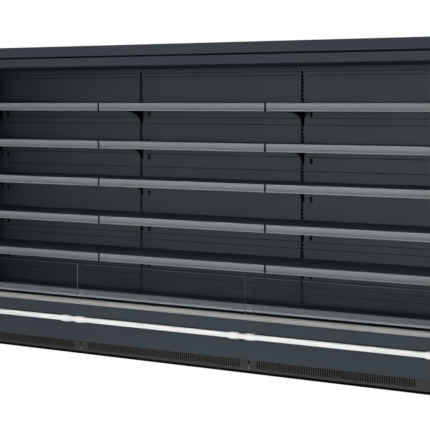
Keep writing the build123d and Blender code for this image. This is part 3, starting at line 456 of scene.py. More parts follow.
# ---------------------------------------- rear lining: folded sheets with real holes
PERFORATION_ROWS = (0.393, 0.438, 0.485, 0.688, 0.733, 1.194, 1.285, 1.494, 1.538, 1.817, 1.842)
HOLE = (0.0125, 0.0060)  # along the row, and its height
HOLE_PITCH = 0.020
HOLE_MARGINS = (0.018, 0.006)  # plain sheet beside the rows, left and right
CABLE_SLOT = (0.015, 0.032)
CABLE_SLOT_X = 0.063  # joint to the cable slots
STRIP_TOPS = [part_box(f"price_strips_{level}")[1].z for level in SHELF_LEVELS]
UPPER_CABLE_SLOTS = (0.073, 0.266)  # below the top strip
CABLE_SLOT_DROP = 0.125  # below each of the other strips
CABLE_SLOTS = sorted([STRIP_TOPS[0] - drop for drop in UPPER_CABLE_SLOTS]
                     + [top - CABLE_SLOT_DROP for top in STRIP_TOPS[1:]])
LINING_SHEET = 0.0012
SHADE_BACKING_MARGIN = 0.004
SHADE_BACKING = (0.0002, 0.0012)  # its near and far side, behind the sheet: a black strip behind each row of holes, painted shade
GROMMET_LIP = 0.002
GROMMET_DEPTH = 0.008
GROMMET_RIB = (0.0008, 0.0006)  # half its width, and its height on the lip


def pierced_sheet(bm, x_range, z_range, y_range, bands):
    """A flat sheet between two depths. Bands go bottom up: (low z, high z, [(x from, x to), ...])."""
    front, back = y_range

    def both_faces(xa, xb, za, zb):
        for y, order in ((front, 1), (back, -1)):
            corners = [(xa, y, za), (xb, y, za), (xb, y, zb), (xa, y, zb)][::order]
            bm.faces.new([bm.verts.new(c) for c in corners])

    rows = []
    base = z_range[0]
    for low_z, high_z, windows in bands:
        rows += [(base, low_z, []), (low_z, high_z, windows)]
        base = high_z
    rows.append((base, z_range[1], []))
    for za, zb, windows in rows:
        x = x_range[0]
        for xa, xb in windows:
            both_faces(x, xa, za, zb)
            ring = [(xa, za), (xb, za), (xb, zb), (xa, zb)]
            for (xp, zp), (xq, zq) in zip(ring, ring[1:] + ring[:1]):
                wall = ((xp, front, zp), (xp, back, zp), (xq, back, zq), (xq, front, zq))
                bm.faces.new([bm.verts.new(c) for c in wall])
            x = xb
        both_faces(x, x_range[1], za, zb)


for joint, module in zip(JOINTS, MODULES):
    low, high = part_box(f"back_panel_{module}")
    face = (low.y, low.y + LINING_SHEET)
    slot_x = joint + CABLE_SLOT_X
    first = low.x + HOLE_MARGINS[0]
    holes = int((high.x - HOLE_MARGINS[1] - first - HOLE[0]) / HOLE_PITCH) + 1
    windows = [(first + HOLE_PITCH * i, first + HOLE_PITCH * i + HOLE[0]) for i in range(holes)]
    bands = [(z - HOLE[1] / 2, z + HOLE[1] / 2, windows) for z in PERFORATION_ROWS]
    slot = (slot_x - CABLE_SLOT[0] / 2, slot_x + CABLE_SLOT[0] / 2)
    bands += [(z - CABLE_SLOT[1] / 2, z + CABLE_SLOT[1] / 2, [slot]) for z in CABLE_SLOTS]
    bm = bmesh.new()
    pierced_sheet(bm, (low.x, high.x), (low.z, high.z), face, sorted(bands))
    for x in (low.x, high.x - LINING_SHEET):
        add_block(bm, (x, face[1], low.z), (x + LINING_SHEET, high.y, high.z))
    piece(f"lining_{module}", "case", "lining_paint", bm, replaces=(f"back_panel_{module}",))
    bm = bmesh.new()
    # painted shade: a black strip behind each row of holes, so the holes show dark
    for z in PERFORATION_ROWS:
        add_block(bm, (first - SHADE_BACKING_MARGIN, face[1] + SHADE_BACKING[0], z - HOLE[1]),
                  (windows[-1][1] + SHADE_BACKING_MARGIN, face[1] + SHADE_BACKING[1], z + HOLE[1]))
    piece(f"hole_shade_backing_{module}", "case", "seal_rubber", bm)

    bm = bmesh.new()
    half_x, half_z = CABLE_SLOT[0] / 2, CABLE_SLOT[1] / 2
    lip = face[0] - GROMMET_LIP
    for z in CABLE_SLOTS:
        add_block(bm, (slot_x - half_x - GROMMET_LIP, lip, z - half_z - GROMMET_LIP),
                  (slot_x + half_x + GROMMET_LIP, face[0], z + half_z + GROMMET_LIP))
        add_block(bm, (slot_x - half_x, face[0], z - half_z),
                  (slot_x + half_x, face[0] + GROMMET_DEPTH, z + half_z))
        add_block(bm, (slot_x - GROMMET_RIB[0], lip - GROMMET_RIB[1], z - half_z),
                  (slot_x + GROMMET_RIB[0], lip, z + half_z))
    eased(piece(f"cable_grommets_{module}", "case", "black_plastic", bm), 0.0008)

# ---------------------------------------- shelf brackets: pressed plates with one smooth curve
BRACKET_SHEET = 0.003
BRACKET_OFFSET = 0.0065  # joint to the middle of a plate
BRACKET_ROOT = 0.140  # below the strip's top, as the nose and the waist are
BRACKET_NOSE = 0.030
BRACKET_WAIST = 0.058
BRACKET_CURVE = 0.155  # reach of the curve from the lining
BRACKET_STEPS = 20
BRACKET_PULLS = (  # of the curve, as (reach from the lining, drop below the strip)
    (BRACKET_CURVE, BRACKET_WAIST), (BRACKET_CURVE * 0.42, BRACKET_WAIST + 0.016),
    (0.008, BRACKET_WAIST + 0.030), (0.0, BRACKET_ROOT))
BRACKET_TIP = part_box("shelf_brackets_2")[0].y
SEAT_DROP = 0.0115
SLOT_PITCH = 0.025
SLOT_HEIGHT = 0.013
SLOT_FIT = 0.0003
HOOK_SPAN = 4  # slots from the hook to the lug
HOOK_DROP = 0.006


def bracket_edge(strip_top):
    """A bracket's lower edge in (y, z), nose to root: a line, then a curve that ends upright."""
    edge = [(BRACKET_TIP, strip_top - BRACKET_NOSE)]
    for k in range(BRACKET_STEPS + 1):
        t = k / BRACKET_STEPS
        weights = ((1 - t) ** 3, 3 * t * (1 - t) ** 2, 3 * t * t * (1 - t), t ** 3)
        reach, drop = (sum(w * pull[i] for w, pull in zip(weights, BRACKET_PULLS)) for i in (0, 1))
        edge.append((LINING - reach, strip_top - drop))
    return edge


for number, joint in enumerate(JOINTS, start=1):
    node = f"shelf_brackets_{number}"
    low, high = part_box(node)
    bm = bmesh.new()
    for side in (-1, 1):
        plate = joint + side * BRACKET_OFFSET
        if not low.x - MM < plate < high.x + MM:
            continue
        for strip_top in STRIP_TOPS:
            seat = strip_top - SEAT_DROP
            upper = seat - SLOT_HEIGHT
            lug = upper - HOOK_SPAN * SLOT_PITCH
            hook_top = upper + SLOT_HEIGHT / 2 - SLOT_FIT
            inside = high.y - BRACKET_SHEET
            edge = bracket_edge(strip_top)
            outline = edge + [
                (UPRIGHT_FACE, edge[-1][1]),
                (UPRIGHT_FACE, lug - SLOT_HEIGHT / 4), (high.y, lug - SLOT_HEIGHT / 4),
                (high.y, lug + SLOT_HEIGHT / 4), (UPRIGHT_FACE, lug + SLOT_HEIGHT / 4),
                (UPRIGHT_FACE, upper), (inside, upper),
                (inside, upper - HOOK_DROP), (high.y, upper - HOOK_DROP),
                (high.y, hook_top), (UPRIGHT_FACE, hook_top), (UPRIGHT_FACE, seat), (BRACKET_TIP, seat)]
            add_prism(bm, outline[::-1], plate - BRACKET_SHEET / 2, plate + BRACKET_SHEET / 2)
    outward(bm)
    eased(piece(f"bracket_plates_{number}", "case", "bracket_paint", bm, replaces=(node,)), 0.0006)

# ---------------------------------------- ticket strips: hollow extrusions, label holders, end caps
STRIP_WALL = 0.0011
STRIP_LIP = 0.007
STRIP_RECESS = 0.003
STRIP_ROUND = 0.0025
STRIP_GAP = 0.005  # joint to the end of a strip
LABEL_PROUD = 0.0006
LABEL_BULGE = 0.0016
LABEL_STEPS = 12
END_CAP = 0.002  # its thickness


def strip_section(low, high, inset):
    """The (y, z) outline of a ticket strip: two rounded lips and a recess between them, all moved inward."""
    front, rear = low.y + inset, high.y - inset
    bottom, top = low.z + inset, high.z - inset
    recess = low.y + STRIP_RECESS + inset
    ease = max(STRIP_ROUND - inset, 0.0004)
    lower = arc((front + ease, bottom + ease), ease, 270, 180, 4)
    upper = arc((front + ease, top - ease), ease, 180, 90, 4)
    lip = STRIP_LIP - inset
    return ([(rear, bottom)] + lower + [(front, low.z + lip), (recess, low.z + lip + 2 * inset)]
            + [(recess, high.z - lip - 2 * inset), (front, high.z - lip)] + upper + [(rear, top)])


def label_section(low, high):
    """The (y, z) outline of the label holder: it bulges between the lips."""
    rear = low.y + STRIP_RECESS
    bottom, top = low.z + STRIP_LIP, high.z - STRIP_LIP
    front = []
    for k in range(LABEL_STEPS + 1):
        bulge = LABEL_BULGE * math.sin(math.pi * k / LABEL_STEPS)
        front.append((rear - LABEL_PROUD - bulge, bottom + (top - bottom) * k / LABEL_STEPS))
    return [(rear, bottom)] + front + [(rear, top)]


for level in SHELF_LEVELS:
    low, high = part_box(f"price_strips_{level}")
    body, labels, caps = bmesh.new(), bmesh.new(), bmesh.new()
    for west, east in zip(JOINTS, JOINTS[1:]):
        x0, x1 = west + STRIP_GAP, east - STRIP_GAP
        outer, inner = strip_section(low, high, 0.0), strip_section(low, high, STRIP_WALL)
        add_tube(body, outer, inner, x0 + END_CAP, x1 - END_CAP)
        add_prism(labels, label_section(low, high), x0 + END_CAP, x1 - END_CAP)
        for a, b in ((x0, x0 + END_CAP), (x1 - END_CAP, x1)):
            add_prism(caps, outer, a, b)
    outward(body, labels, caps)
    strip = piece(f"strip_extrusions_{level}", "case", "strip_plastic", body,
                  replaces=(f"price_strips_{level}",))
    smoothed(strip, 50)
    smoothed(piece(f"strip_labels_{level}", "case", "strip_plastic", labels, material=STRIP_LABEL_PAINTED_SHEEN), 50)
    piece(f"strip_end_caps_{level}", "case", "black_plastic", caps)

# ---------------------------------------- air outlet: hexagonal cells in a frame
CELL = 0.010  # side of a hexagon
FOIL = 0.0006
OUTLET_RIM = 0.006
CELL_INSETS = (0.002, 0.004)  # from the outlet's underside and top
CELLS_IN_BLOCK = 12  # along X; the block is then repeated
HEXAGON = [(math.sin(math.pi / 3 * k), math.cos(math.pi / 3 * k)) for k in range(6)]
low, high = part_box("air_outlet_honeycomb")
cell_step = CELL * 3 ** 0.5
cell_z = (low.z + CELL_INSETS[0], high.z - CELL_INSETS[1])
bm = bmesh.new()
for row in range(int((high.y - low.y - 2 * OUTLET_RIM) / (CELL * 1.5))):
    for column in range(CELLS_IN_BLOCK):
        cx = low.x + cell_step * (column + 0.5 + 0.5 * (row % 2))
        cy = low.y + OUTLET_RIM + CELL / 2 + CELL * 1.5 * row
        inner = [(cx + (CELL - FOIL) * a, cy + (CELL - FOIL) * b) for a, b in HEXAGON]
        outer = [(cx + CELL * a, cy + CELL * b) for a, b in HEXAGON]
        for k in range(6):
            n = (k + 1) % 6
            for z, order in ((cell_z[0], -1), (cell_z[1], 1)):
                ring = [(*inner[k], z), (*outer[k], z), (*outer[n], z), (*inner[n], z)][::order]
                bm.faces.new([bm.verts.new(c) for c in ring])
            wall = ((*inner[k], cell_z[0]), (*inner[n], cell_z[0]),
                    (*inner[n], cell_z[1]), (*inner[k], cell_z[1]))
            bm.faces.new([bm.verts.new(c) for c in wall])
cells = piece("outlet_cells", "case", "black_plastic", bm)
repeated(cells, cell_step * CELLS_IN_BLOCK, int((high.x - low.x - cell_step) / (cell_step * CELLS_IN_BLOCK)))
bm = bmesh.new()
add_block(bm, low, (high.x, low.y + OUTLET_RIM, high.z))
add_block(bm, (low.x, high.y - OUTLET_RIM, low.z), high)
for x in (low.x, JOINTS[1] - OUTLET_RIM / 2, JOINTS[2] - OUTLET_RIM / 2, high.x - OUTLET_RIM):
    add_block(bm, (x, low.y + OUTLET_RIM, low.z), (x + OUTLET_RIM, high.y - OUTLET_RIM, high.z))
piece("outlet_frame", "case", "black_plastic", bm, replaces=("air_outlet_honeycomb",))

# ---------------------------------------- bumper: moulded collars, and a grey line along the rail as a groove's painted shade
COLLAR_WIDTH = 0.058
COLLAR_SPACING = 0.110
COLLAR_ROUND = 0.012
COLLAR_WALL = 0.0022
COLLAR_CAVITY = (0.0094, 0.0028)  # what it loses in height and in corner radius
BUMPER_LINE_HEIGHT = 0.0014
BUMPER_LINE_DEPTH = 0.002
BUMPER_LINE_INSET = 0.003  # from the ends of the rail
BUMPER_PROUD = 0.0003
BUMPER_PLUG = (0.0032, 0.0236, 0.0058)  # set back from the face, height, corner radius
BUMPER_PLUG_LENGTH = 0.004
END_INSET = 0.0005  # of the end plugs of bumper and hand rail


def rounded_front(front, height, radius, back, middle):
    """A (y, z) outline with a flat back and two rounded front corners."""
    low_z, high_z = middle - height / 2, middle + height / 2
    return ([(back, low_z)] + arc((front + radius, low_z + radius), radius, 270, 180, 8)
            + arc((front + radius, high_z - radius), radius, 180, 90, 8) + [(back, high_z)])


low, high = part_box("bumper_collars")
bumper_axis = (low.z + high.z) / 2
outer = rounded_front(low.y, high.z - low.z, COLLAR_ROUND, high.y, bumper_axis)
cavity = rounded_front(low.y + COLLAR_WALL, high.z - low.z - COLLAR_CAVITY[0],
                       COLLAR_ROUND - COLLAR_CAVITY[1], high.y, bumper_axis)
bm = bmesh.new()
for joint in JOINTS:
    for x in (joint - COLLAR_SPACING / 2, joint + COLLAR_SPACING / 2):
        if JOINTS[0] < x < JOINTS[-1]:
            add_tube(bm, outer, cavity, x - COLLAR_WIDTH / 2, x + COLLAR_WIDTH / 2)
outward(bm)
collars = piece("collar_mouldings", "case", "bumper_plastic", bm, replaces=("bumper_collars",))
eased(collars, 0.002, 3)
collars.data.shade_smooth()
# a darker grey line along the bumper's face, slightly proud: painted shade of a groove
bm = bmesh.new()
line_z = (bumper_axis - BUMPER_LINE_HEIGHT / 2, bumper_axis + BUMPER_LINE_HEIGHT / 2)
add_block(bm, (BUMPER_LOW.x + BUMPER_LINE_INSET, BUMPER_LOW.y - BUMPER_PROUD, line_z[0]),
          (BUMPER_HIGH.x - BUMPER_LINE_INSET, BUMPER_LOW.y + BUMPER_LINE_DEPTH, line_z[1]))
piece("bumper_groove_painted_shade", "case", "bumper_plastic", bm, material=BUMPER_LINE)
bm = bmesh.new()
set_back, height, radius = BUMPER_PLUG
plug = rounded_front(BUMPER_LOW.y + set_back, height, radius, BUMPER_HIGH.y, bumper_axis)
for x in (BUMPER_LOW.x + END_INSET, BUMPER_HIGH.x - END_INSET - BUMPER_PLUG_LENGTH):
    add_prism(bm, plug, x, x + BUMPER_PLUG_LENGTH)
outward(bm)
eased(piece("bumper_end_plugs", "case", "black_plastic", bm), 0.0008)

# ---------------------------------------- hand rail: insert in its groove, plugs in its ends
RAIL_GROOVE = 0.013
RAIL_GROOVE_DEPTH = 0.0025
RAIL_WALL = 0.003
RAIL_PLUG_LENGTH = 0.006
INSERT_INSET = 0.0006  # from the ends of the rail
INSERT_BULGE = 0.0019
INSERT_STEPS = 10
rail_axis = (RAIL_LOW.z + RAIL_HIGH.z) / 2
insert_back = RAIL_LOW.y + RAIL_GROOVE_DEPTH
insert = [(insert_back, rail_axis - RAIL_GROOVE / 2)]
for k in range(1, INSERT_STEPS):
    bulge = INSERT_BULGE * math.sin(math.pi * k / INSERT_STEPS) ** 0.5
    insert.append((insert_back - bulge, rail_axis + RAIL_GROOVE * (k / INSERT_STEPS - 0.5)))
insert.append((insert_back, rail_axis + RAIL_GROOVE / 2))
bm = bmesh.new()
add_prism(bm, insert, RAIL_LOW.x + INSERT_INSET, RAIL_HIGH.x - INSERT_INSET)
outward(bm)
smoothed(piece("rail_groove_insert", "case", "rail_aluminium", bm, material=RAIL_INSERT))
bm = bmesh.new()
for x in (RAIL_LOW.x + END_INSET, RAIL_HIGH.x - END_INSET - RAIL_PLUG_LENGTH):
    add_block(bm, (x, insert_back + RAIL_WALL, RAIL_LOW.z + RAIL_WALL),
              (x + RAIL_PLUG_LENGTH, RAIL_HIGH.y - RAIL_WALL, RAIL_HIGH.z - RAIL_WALL))
eased(piece("rail_end_plugs", "case", "black_plastic", bm), 0.001)

# ---------------------------------------- plinth: a black sheet behind the vents as painted shade, quarter-turn fasteners
SHADE_SHEET_GAP = 0.005
SHADE_SHEET_MARGINS = (0.004, 0.0045)  # at its ends, and at its top and foot
bm = bmesh.new()
for module in MODULES:
    low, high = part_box(f"plinth_panel_{module}")
    front = low.y + SHADE_SHEET_GAP
    add_block(bm, (low.x + SHADE_SHEET_MARGINS[0], front, low.z + SHADE_SHEET_MARGINS[1]),
              (high.x - SHADE_SHEET_MARGINS[0], front + MM, high.z - SHADE_SHEET_MARGINS[1]))
# a plain black sheet behind the vent slots: painted shade, so the slots show dark
piece("vent_painted_shade_sheet", "case", "black_plastic", bm)

HEAD_DOME = ((0.45, 0.97), (0.75, 0.83), (0.93, 0.5), (1.0, 0.12))  # shares of the head's radius and height
SHANK_RADIUS = 0.0036
SHANK_LENGTH = 0.013
DRIVE_SLOT = (0.5, 0.0009, 0.985)  # share of the radius, half its width, share of the height
low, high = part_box("plinth_fasteners")
button_axis = (low.z + high.z) / 2
button_radius = (high.z - low.z) / 2
head = PLINTH_FACE - low.y
dome = ([(0, head)] + [(button_radius * r, head * h) for r, h in HEAD_DOME]
        + [(button_radius, 0), (SHANK_RADIUS, 0), (SHANK_RADIUS, -SHANK_LENGTH), (0, -SHANK_LENGTH)])
long, wide, deep = button_radius * DRIVE_SLOT[0], DRIVE_SLOT[1], head * DRIVE_SLOT[2]
bm, slots = bmesh.new(), bmesh.new()
for joint in JOINTS[1:-1]:
    place = Matrix.Translation((joint, PLINTH_FACE, button_axis)) @ Matrix.Rotation(math.pi / 2, 4, "X")
    add_lathe(bm, dome, place)
    for turn in (0, math.pi / 2):
        cross = place @ Matrix.Rotation(turn, 4, "Z")
        corners = ((-long, -wide, deep), (long, -wide, deep), (long, wide, deep), (-long, wide, deep))
        slots.faces.new([slots.verts.new(cross @ Vector(c)) for c in corners])
outward(bm)
smoothed(piece("fastener_heads", "case", "black_plastic", bm, replaces=("plinth_fasteners",)))
# the drive slots are flat black faces near each head's top: painted shade in place of a cut
piece("drive_slot_painted_shade", "case", "seal_rubber", slots)

# ---------------------------------------- glass: ground edges of each pane
EDGE_FILM = 0.0003  # past the end of a pane
EDGE_DEPTH = (0.0009, 0.0012)  # into the pane, at its ends and at its top
EDGE_INSET = 0.0004  # from its faces
EDGE_TRIM = 0.0005  # of the top edge, at both ends
EDGE_FOOT = 0.012  # above the pane's foot, in the channel
LEFT_EDGE_TOP = 0.055  # above the pane's foot: its left end gets the edge colour only up to here, a painted highlight where light catches its foot
END_GLINT = (0.080, 0.002)  # right end: above the pane's foot, and below its top
GLINT_FILM = (0.0001, 0.0004)  # past the end
GLINT_INSET = 0.0006
for module in MODULES:
    low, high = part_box(f"glass_panel_{module}")
    near, far = low.y + EDGE_INSET, high.y - EDGE_INSET
    foot, top = low.z + EDGE_FOOT, high.z - EDGE_DEPTH[1]
    bm = bmesh.new()
    add_block(bm, (low.x + EDGE_TRIM, near, top), (high.x - EDGE_TRIM, far, high.z + EDGE_FILM - EDGE_INSET))
    add_block(bm, (low.x - EDGE_FILM, near, foot), (low.x + EDGE_DEPTH[0], far, low.z + LEFT_EDGE_TOP))
    add_block(bm, (high.x - EDGE_DEPTH[0], near, foot), (high.x + EDGE_FILM, far, top))
    piece(f"glass_edges_{module}", "case", "riser_glass", bm, material=GLASS_EDGE)
    # a thin film past each pane's right end: on the left pane a painted highlight, on the others the edge
    # colour
    bm = bmesh.new()
    add_block(bm, (high.x + GLINT_FILM[0], low.y + GLINT_INSET, low.z + END_GLINT[0]),
              (high.x + GLINT_FILM[1], high.y - GLINT_INSET, high.z - END_GLINT[1]))
    piece(f"glass_end_painted_glint_{module}", "case", "riser_glass", bm,
          material=GLASS_END_PAINTED_HIGHLIGHT if module == "left" else GLASS_EDGE)

# ---------------------------------------- return-air grille: bars across each intake
BAR_PITCH = 0.010
BAR = 0.004
BAR_DEPTH = (0.0025, 0.0004)  # below the ledge: underside and top of the bars
INTAKES = 4  # in each module
INTAKE_SETBACK = 0.060  # front of the grille to the middle of the intakes
INTAKE_HALF = 0.0075
INTAKE_LAND = 0.050  # plain sheet from one intake to the next
low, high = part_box("return_air_grille")
intake_y = (low.y + INTAKE_SETBACK - INTAKE_HALF, low.y + INTAKE_SETBACK + INTAKE_HALF)
span = MODULE_PITCH / INTAKES - INTAKE_LAND
bm = bmesh.new()
for joint in JOINTS[:-1]:
    for k in range(INTAKES):
        middle = joint + MODULE_PITCH * (k + 0.5) / INTAKES
        for i in range(int(span / BAR_PITCH)):
            x = middle - span / 2 + BAR_PITCH * (i + 0.5)
            add_block(bm, (x - BAR / 2, intake_y[0], high.z - BAR_DEPTH[0]),
                      (x + BAR / 2, intake_y[1], high.z - BAR_DEPTH[1]))
piece("intake_bars", "case", "grille_paint", bm)

# ---------------------------------------- fans: moulded rotors, round motors on their spiders
SLOPE = math.atan2(0.120, 0.208)  # of the fan plate: its rise and run
FAN_MIDDLE = (-0.044, 0.203)  # (y, z) of each fan
FAN_BLADES = 5
BLADE_STEPS = 12
BLADE_HALF = 0.0009  # half its thickness
BLADE_ROOT, BLADE_TIP = 0.0265, 0.0835  # radii
BLADE_CHORD, CHORD_GROWTH = 0.034, 0.022  # at the root, and from there to the tip
BLADE_PITCH, PITCH_LOSS = 34, 14  # degrees, likewise
BLADE_CAMBER = 0.0035
BLADE_SWEEP = 0.004
BLADE_DROP = 0.001
MOTOR = (0.018, 0.060)  # near and far end of the motor can, above the plate
# profiles as (radius, height above the fan's middle)
HUB_PROFILE = [(0, 0.0137), (0.020, 0.0137), (0.0255, 0.0118), (0.028, 0.008), (0.028, -0.0136),
               (0.0245, -0.0139), (0.0245, -0.008), (0, -0.008)]
CAN_PROFILE = [(0, MOTOR[0]), (0.024, MOTOR[0]), (0.0292, MOTOR[0] + 0.003), (0.0292, 0.036), (0.0278, 0.037),
               (0.0278, 0.039), (0.0292, 0.040), (0.0292, 0.050), (0.026, MOTOR[1] - 0.003),
               (0.010, MOTOR[1]), (0, MOTOR[1])]
BEARING_PROFILE = [(0.006, 0.0145), (0.009, 0.0145), (0.0095, MOTOR[0]), (0.006, MOTOR[0])]
SPIDER_ARMS = 3
SPIDER_ARM = (  # (radius, half width, height, thickness), hub to plate
    (0.022, 0.008, 0.0185, 0.0034), (0.060, 0.0055, 0.0185, 0.0034), (0.094, 0.0045, 0.0185, 0.0034),
    (0.0955, 0.0045, 0.0022, 0.0016), (0.0995, 0.0045, 0.0022, 0.0016))


def blade_station(i, k):
    """A point of the blade's middle surface, root to tip and edge to edge, as (radius, angle, height)."""
    r = BLADE_ROOT + (BLADE_TIP - BLADE_ROOT) * i / BLADE_STEPS
    chord = BLADE_CHORD + CHORD_GROWTH * math.sin(math.pi / 2 * i / BLADE_STEPS)
    pitch = math.radians(BLADE_PITCH - PITCH_LOSS * i / BLADE_STEPS)
    across_chord = (k / BLADE_STEPS - 0.5) * chord
    camber = BLADE_CAMBER * (1 - (2 * k / BLADE_STEPS - 1) ** 2)
    sweep = BLADE_SWEEP * (i / BLADE_STEPS) ** 2
    along = across_chord * math.cos(pitch) - camber * math.sin(pitch) + sweep
    return r, along / r, across_chord * math.sin(pitch) + camber * math.cos(pitch) - BLADE_DROP


def add_blade(bm, place, turn):
    """One twisted, cambered blade, closed round its rim."""
    steps = BLADE_STEPS
    sheets = []
    for side in (BLADE_HALF, -BLADE_HALF):
        sheet = []
        for i in range(steps + 1):
            row = []
            for k in range(steps + 1):
                r, angle, height = blade_station(i, k)
                point = Vector((r * math.cos(turn + angle), r * math.sin(turn + angle), height + side))
                row.append(bm.verts.new(place @ point))
            sheet.append(row)
        sheets.append(sheet)
    upper, lower = sheets
    for i in range(steps):
        for k in range(steps):
            bm.faces.new((upper[i][k], upper[i + 1][k], upper[i + 1][k + 1], upper[i][k + 1]))
            bm.faces.new((lower[i][k + 1], lower[i + 1][k + 1], lower[i + 1][k], lower[i][k]))
    rim = ([(i, 0) for i in range(steps)] + [(steps, k) for k in range(steps)]
           + [(i, steps) for i in range(steps, 0, -1)] + [(0, k) for k in range(steps, 0, -1)])
    for (i, k), (j, n) in zip(rim, rim[1:] + rim[:1]):
        bm.faces.new((upper[i][k], lower[i][k], lower[j][n], upper[j][n]))


motors = bmesh.new()
arms = bmesh.new()
for x, module in zip(MODULE_CENTRES, MODULES):
    place = Matrix.Translation((x, *FAN_MIDDLE)) @ Matrix.Rotation(-SLOPE, 4, "X")
    bm = bmesh.new()
    add_lathe(bm, HUB_PROFILE, place, 40)
    for blade in range(FAN_BLADES):
        add_blade(bm, place, 2 * math.pi * (blade + 0.5) / FAN_BLADES)
    outward(bm)
    rotor = f"fan_rotor_{module}"
    smoothed(piece(f"rotor_moulding_{module}", rotor, "fan_plastic", bm, replaces=(rotor,)))
    add_lathe(motors, CAN_PROFILE, place, 36)
    add_lathe(motors, BEARING_PROFILE, place, 24)
    for k in range(SPIDER_ARMS):
        arm = place @ Matrix.Rotation(math.pi / 2 + 2 * math.pi * k / SPIDER_ARMS, 4, "Z")
        rings = []
        for r, half, height, thick in SPIDER_ARM:
            corners = ((r, -half, height), (r, half, height),
                       (r, half, height + thick), (r, -half, height + thick))
            rings.append([arms.verts.new(arm @ Vector(c)) for c in corners])
        for first, second in zip(rings, rings[1:]):
            for i in range(4):
                j = (i + 1) % 4
                arms.faces.new((first[i], first[j], second[j], second[i]))
        arms.faces.new(rings[0][::-1])
        arms.faces.new(rings[-1])
outward(motors, arms)
smoothed(piece("motor_cans", "case", "motor_paint", motors, replaces=("fan_motors",)))
eased(piece("motor_spiders", "case", "galvanised_steel", arms), 0.0005)

# ---------------------------------------- evaporator: fins and tubes between end plates
FIN_PITCH = 0.005
FIN = 0.0004
COIL_PLATE = 0.003
COIL_COVER = 0.0015
COIL_PLATES = 4
COIL_OVERHANG = 0.006  # of the casing past the fins, front and rear
FIN_LIFT = 0.0005
HEADER = (0.034, 0.080, 0.070)  # along X, along Y, above the tub
HEADER_SHIFT = 0.0025  # from the middle of the two pipes to the rear
TUBE_RADIUS = 0.0048
TUBE_ENDS = (0.004, 0.0005)  # past the first plate, and short of the header
TUBE_ROWS = 4
TUBES_IN_ROW = 8
low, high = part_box("evaporator_coil")
coil_end = high.x - HEADER[0]
fins_top = high.z - COIL_COVER
bm = bmesh.new()
add_block(bm, (low.x, low.y + COIL_OVERHANG, low.z + FIN_LIFT),
          (low.x + FIN, high.y - COIL_OVERHANG, fins_top))
fins = piece("coil_fins", "case", "coil_aluminium", bm, replaces=("evaporator_coil",))
repeated(fins, FIN_PITCH, int((coil_end - low.x) / FIN_PITCH) + 1)
bm = bmesh.new()
for row in range(TUBE_ROWS):
    z = low.z + (fins_top - low.z) * (row + 0.5) / TUBE_ROWS
    for k in range(TUBES_IN_ROW):
        y = low.y + (high.y - low.y) * (k + 0.5) / TUBES_IN_ROW
        add_prism(bm, arc((y, z), TUBE_RADIUS, 0, 330, 11), low.x - TUBE_ENDS[0], coil_end - TUBE_ENDS[1])
outward(bm)
smoothed(piece("coil_tubes", "case", "copper_pipe", bm), 50)
bm = bmesh.new()
add_block(bm, (low.x, low.y, fins_top), (coil_end, high.y, high.z))
for k in range(COIL_PLATES):
    x = low.x + (coil_end - low.x - COIL_PLATE) * k / (COIL_PLATES - 1)
    add_block(bm, (x, low.y, low.z), (x + COIL_PLATE, high.y, fins_top))
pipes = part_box("refrigerant_pipes")
header_y = (pipes[0].y + pipes[1].y) / 2 + HEADER_SHIFT
add_block(bm, (coil_end, header_y - HEADER[1] / 2, low.z + HEADER[2]),
          (high.x, header_y + HEADER[1] / 2, fins_top))
eased(piece("coil_casing", "case", "galvanised_steel", bm), 0.0005)

# ---------------------------------------- pipes and drain under the tub, and the feet
STUB_LENGTH = 0.030
SUCTION_RADIUS = 0.011
LIQUID_RADIUS = 0.006
PIPE_WALL = 0.0011
SWAGE = 0.001  # what a pipe's radius gains at its stub
SWAGE_LENGTH = 0.003
PIPE_CHAMFER = 0.0004
low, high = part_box("refrigerant_pipes")
pipe_x = (low.x + high.x) / 2
stub_top = low.z + STUB_LENGTH
bm = bmesh.new()
for y, radius in ((high.y - SUCTION_RADIUS, SUCTION_RADIUS), (low.y + LIQUID_RADIUS, LIQUID_RADIUS)):
    profile = [(radius - SWAGE, high.z), (radius - SWAGE, stub_top + SWAGE_LENGTH), (radius, stub_top),
               (radius, low.z + PIPE_CHAMFER), (radius - PIPE_CHAMFER, low.z),
               (radius - PIPE_WALL, low.z), (radius - PIPE_WALL, stub_top)]
    add_lathe(bm, profile, Matrix.Translation((pipe_x, y, 0)))
outward(bm)
smoothed(piece("pipe_stubs", "case", "copper_pipe", bm, replaces=("refrigerant_pipes",)), 50)

DRAIN_BORE = 0.017
DRAIN_FLANGE = (0.034, 0.002)  # radius and thickness
DRAIN_NECK = 0.0225
SPIGOT = (0.0188, 0.020)  # radius between the barbs, and on them
BARBS = 3
BARB_START = 0.006  # below the neck
BARB_PITCH = 0.008
BARB_LENGTH = 0.007
BARB_EDGE = 0.0005
GRATE_BARS = 5
GRATE_PITCH = 0.0062
GRATE_DROP = 0.0005
GRATE_REACH = 0.0172  # just into the wall of the bore
low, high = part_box("drain_outlet")
drain = Vector(((low.x + high.x) / 2, (low.y + high.y) / 2, 0))
stub_top = low.z + STUB_LENGTH
flange_foot = high.z - DRAIN_FLANGE[1]
barbs = []
for k in range(BARBS):
    z = stub_top - BARB_START - BARB_PITCH * k
    barbs += [(SPIGOT[0], z), (SPIGOT[1], z - BARB_EDGE), (SPIGOT[0], z - BARB_LENGTH)]
bm = bmesh.new()
add_lathe(bm, [(DRAIN_BORE, high.z), (DRAIN_FLANGE[0], high.z), (DRAIN_FLANGE[0], flange_foot),
               (DRAIN_NECK, flange_foot), (DRAIN_NECK, stub_top), (SPIGOT[1], stub_top)] + barbs
          + [(SPIGOT[0], low.z), (DRAIN_BORE, low.z), (DRAIN_BORE, high.z)], Matrix.Translation(drain), 40)
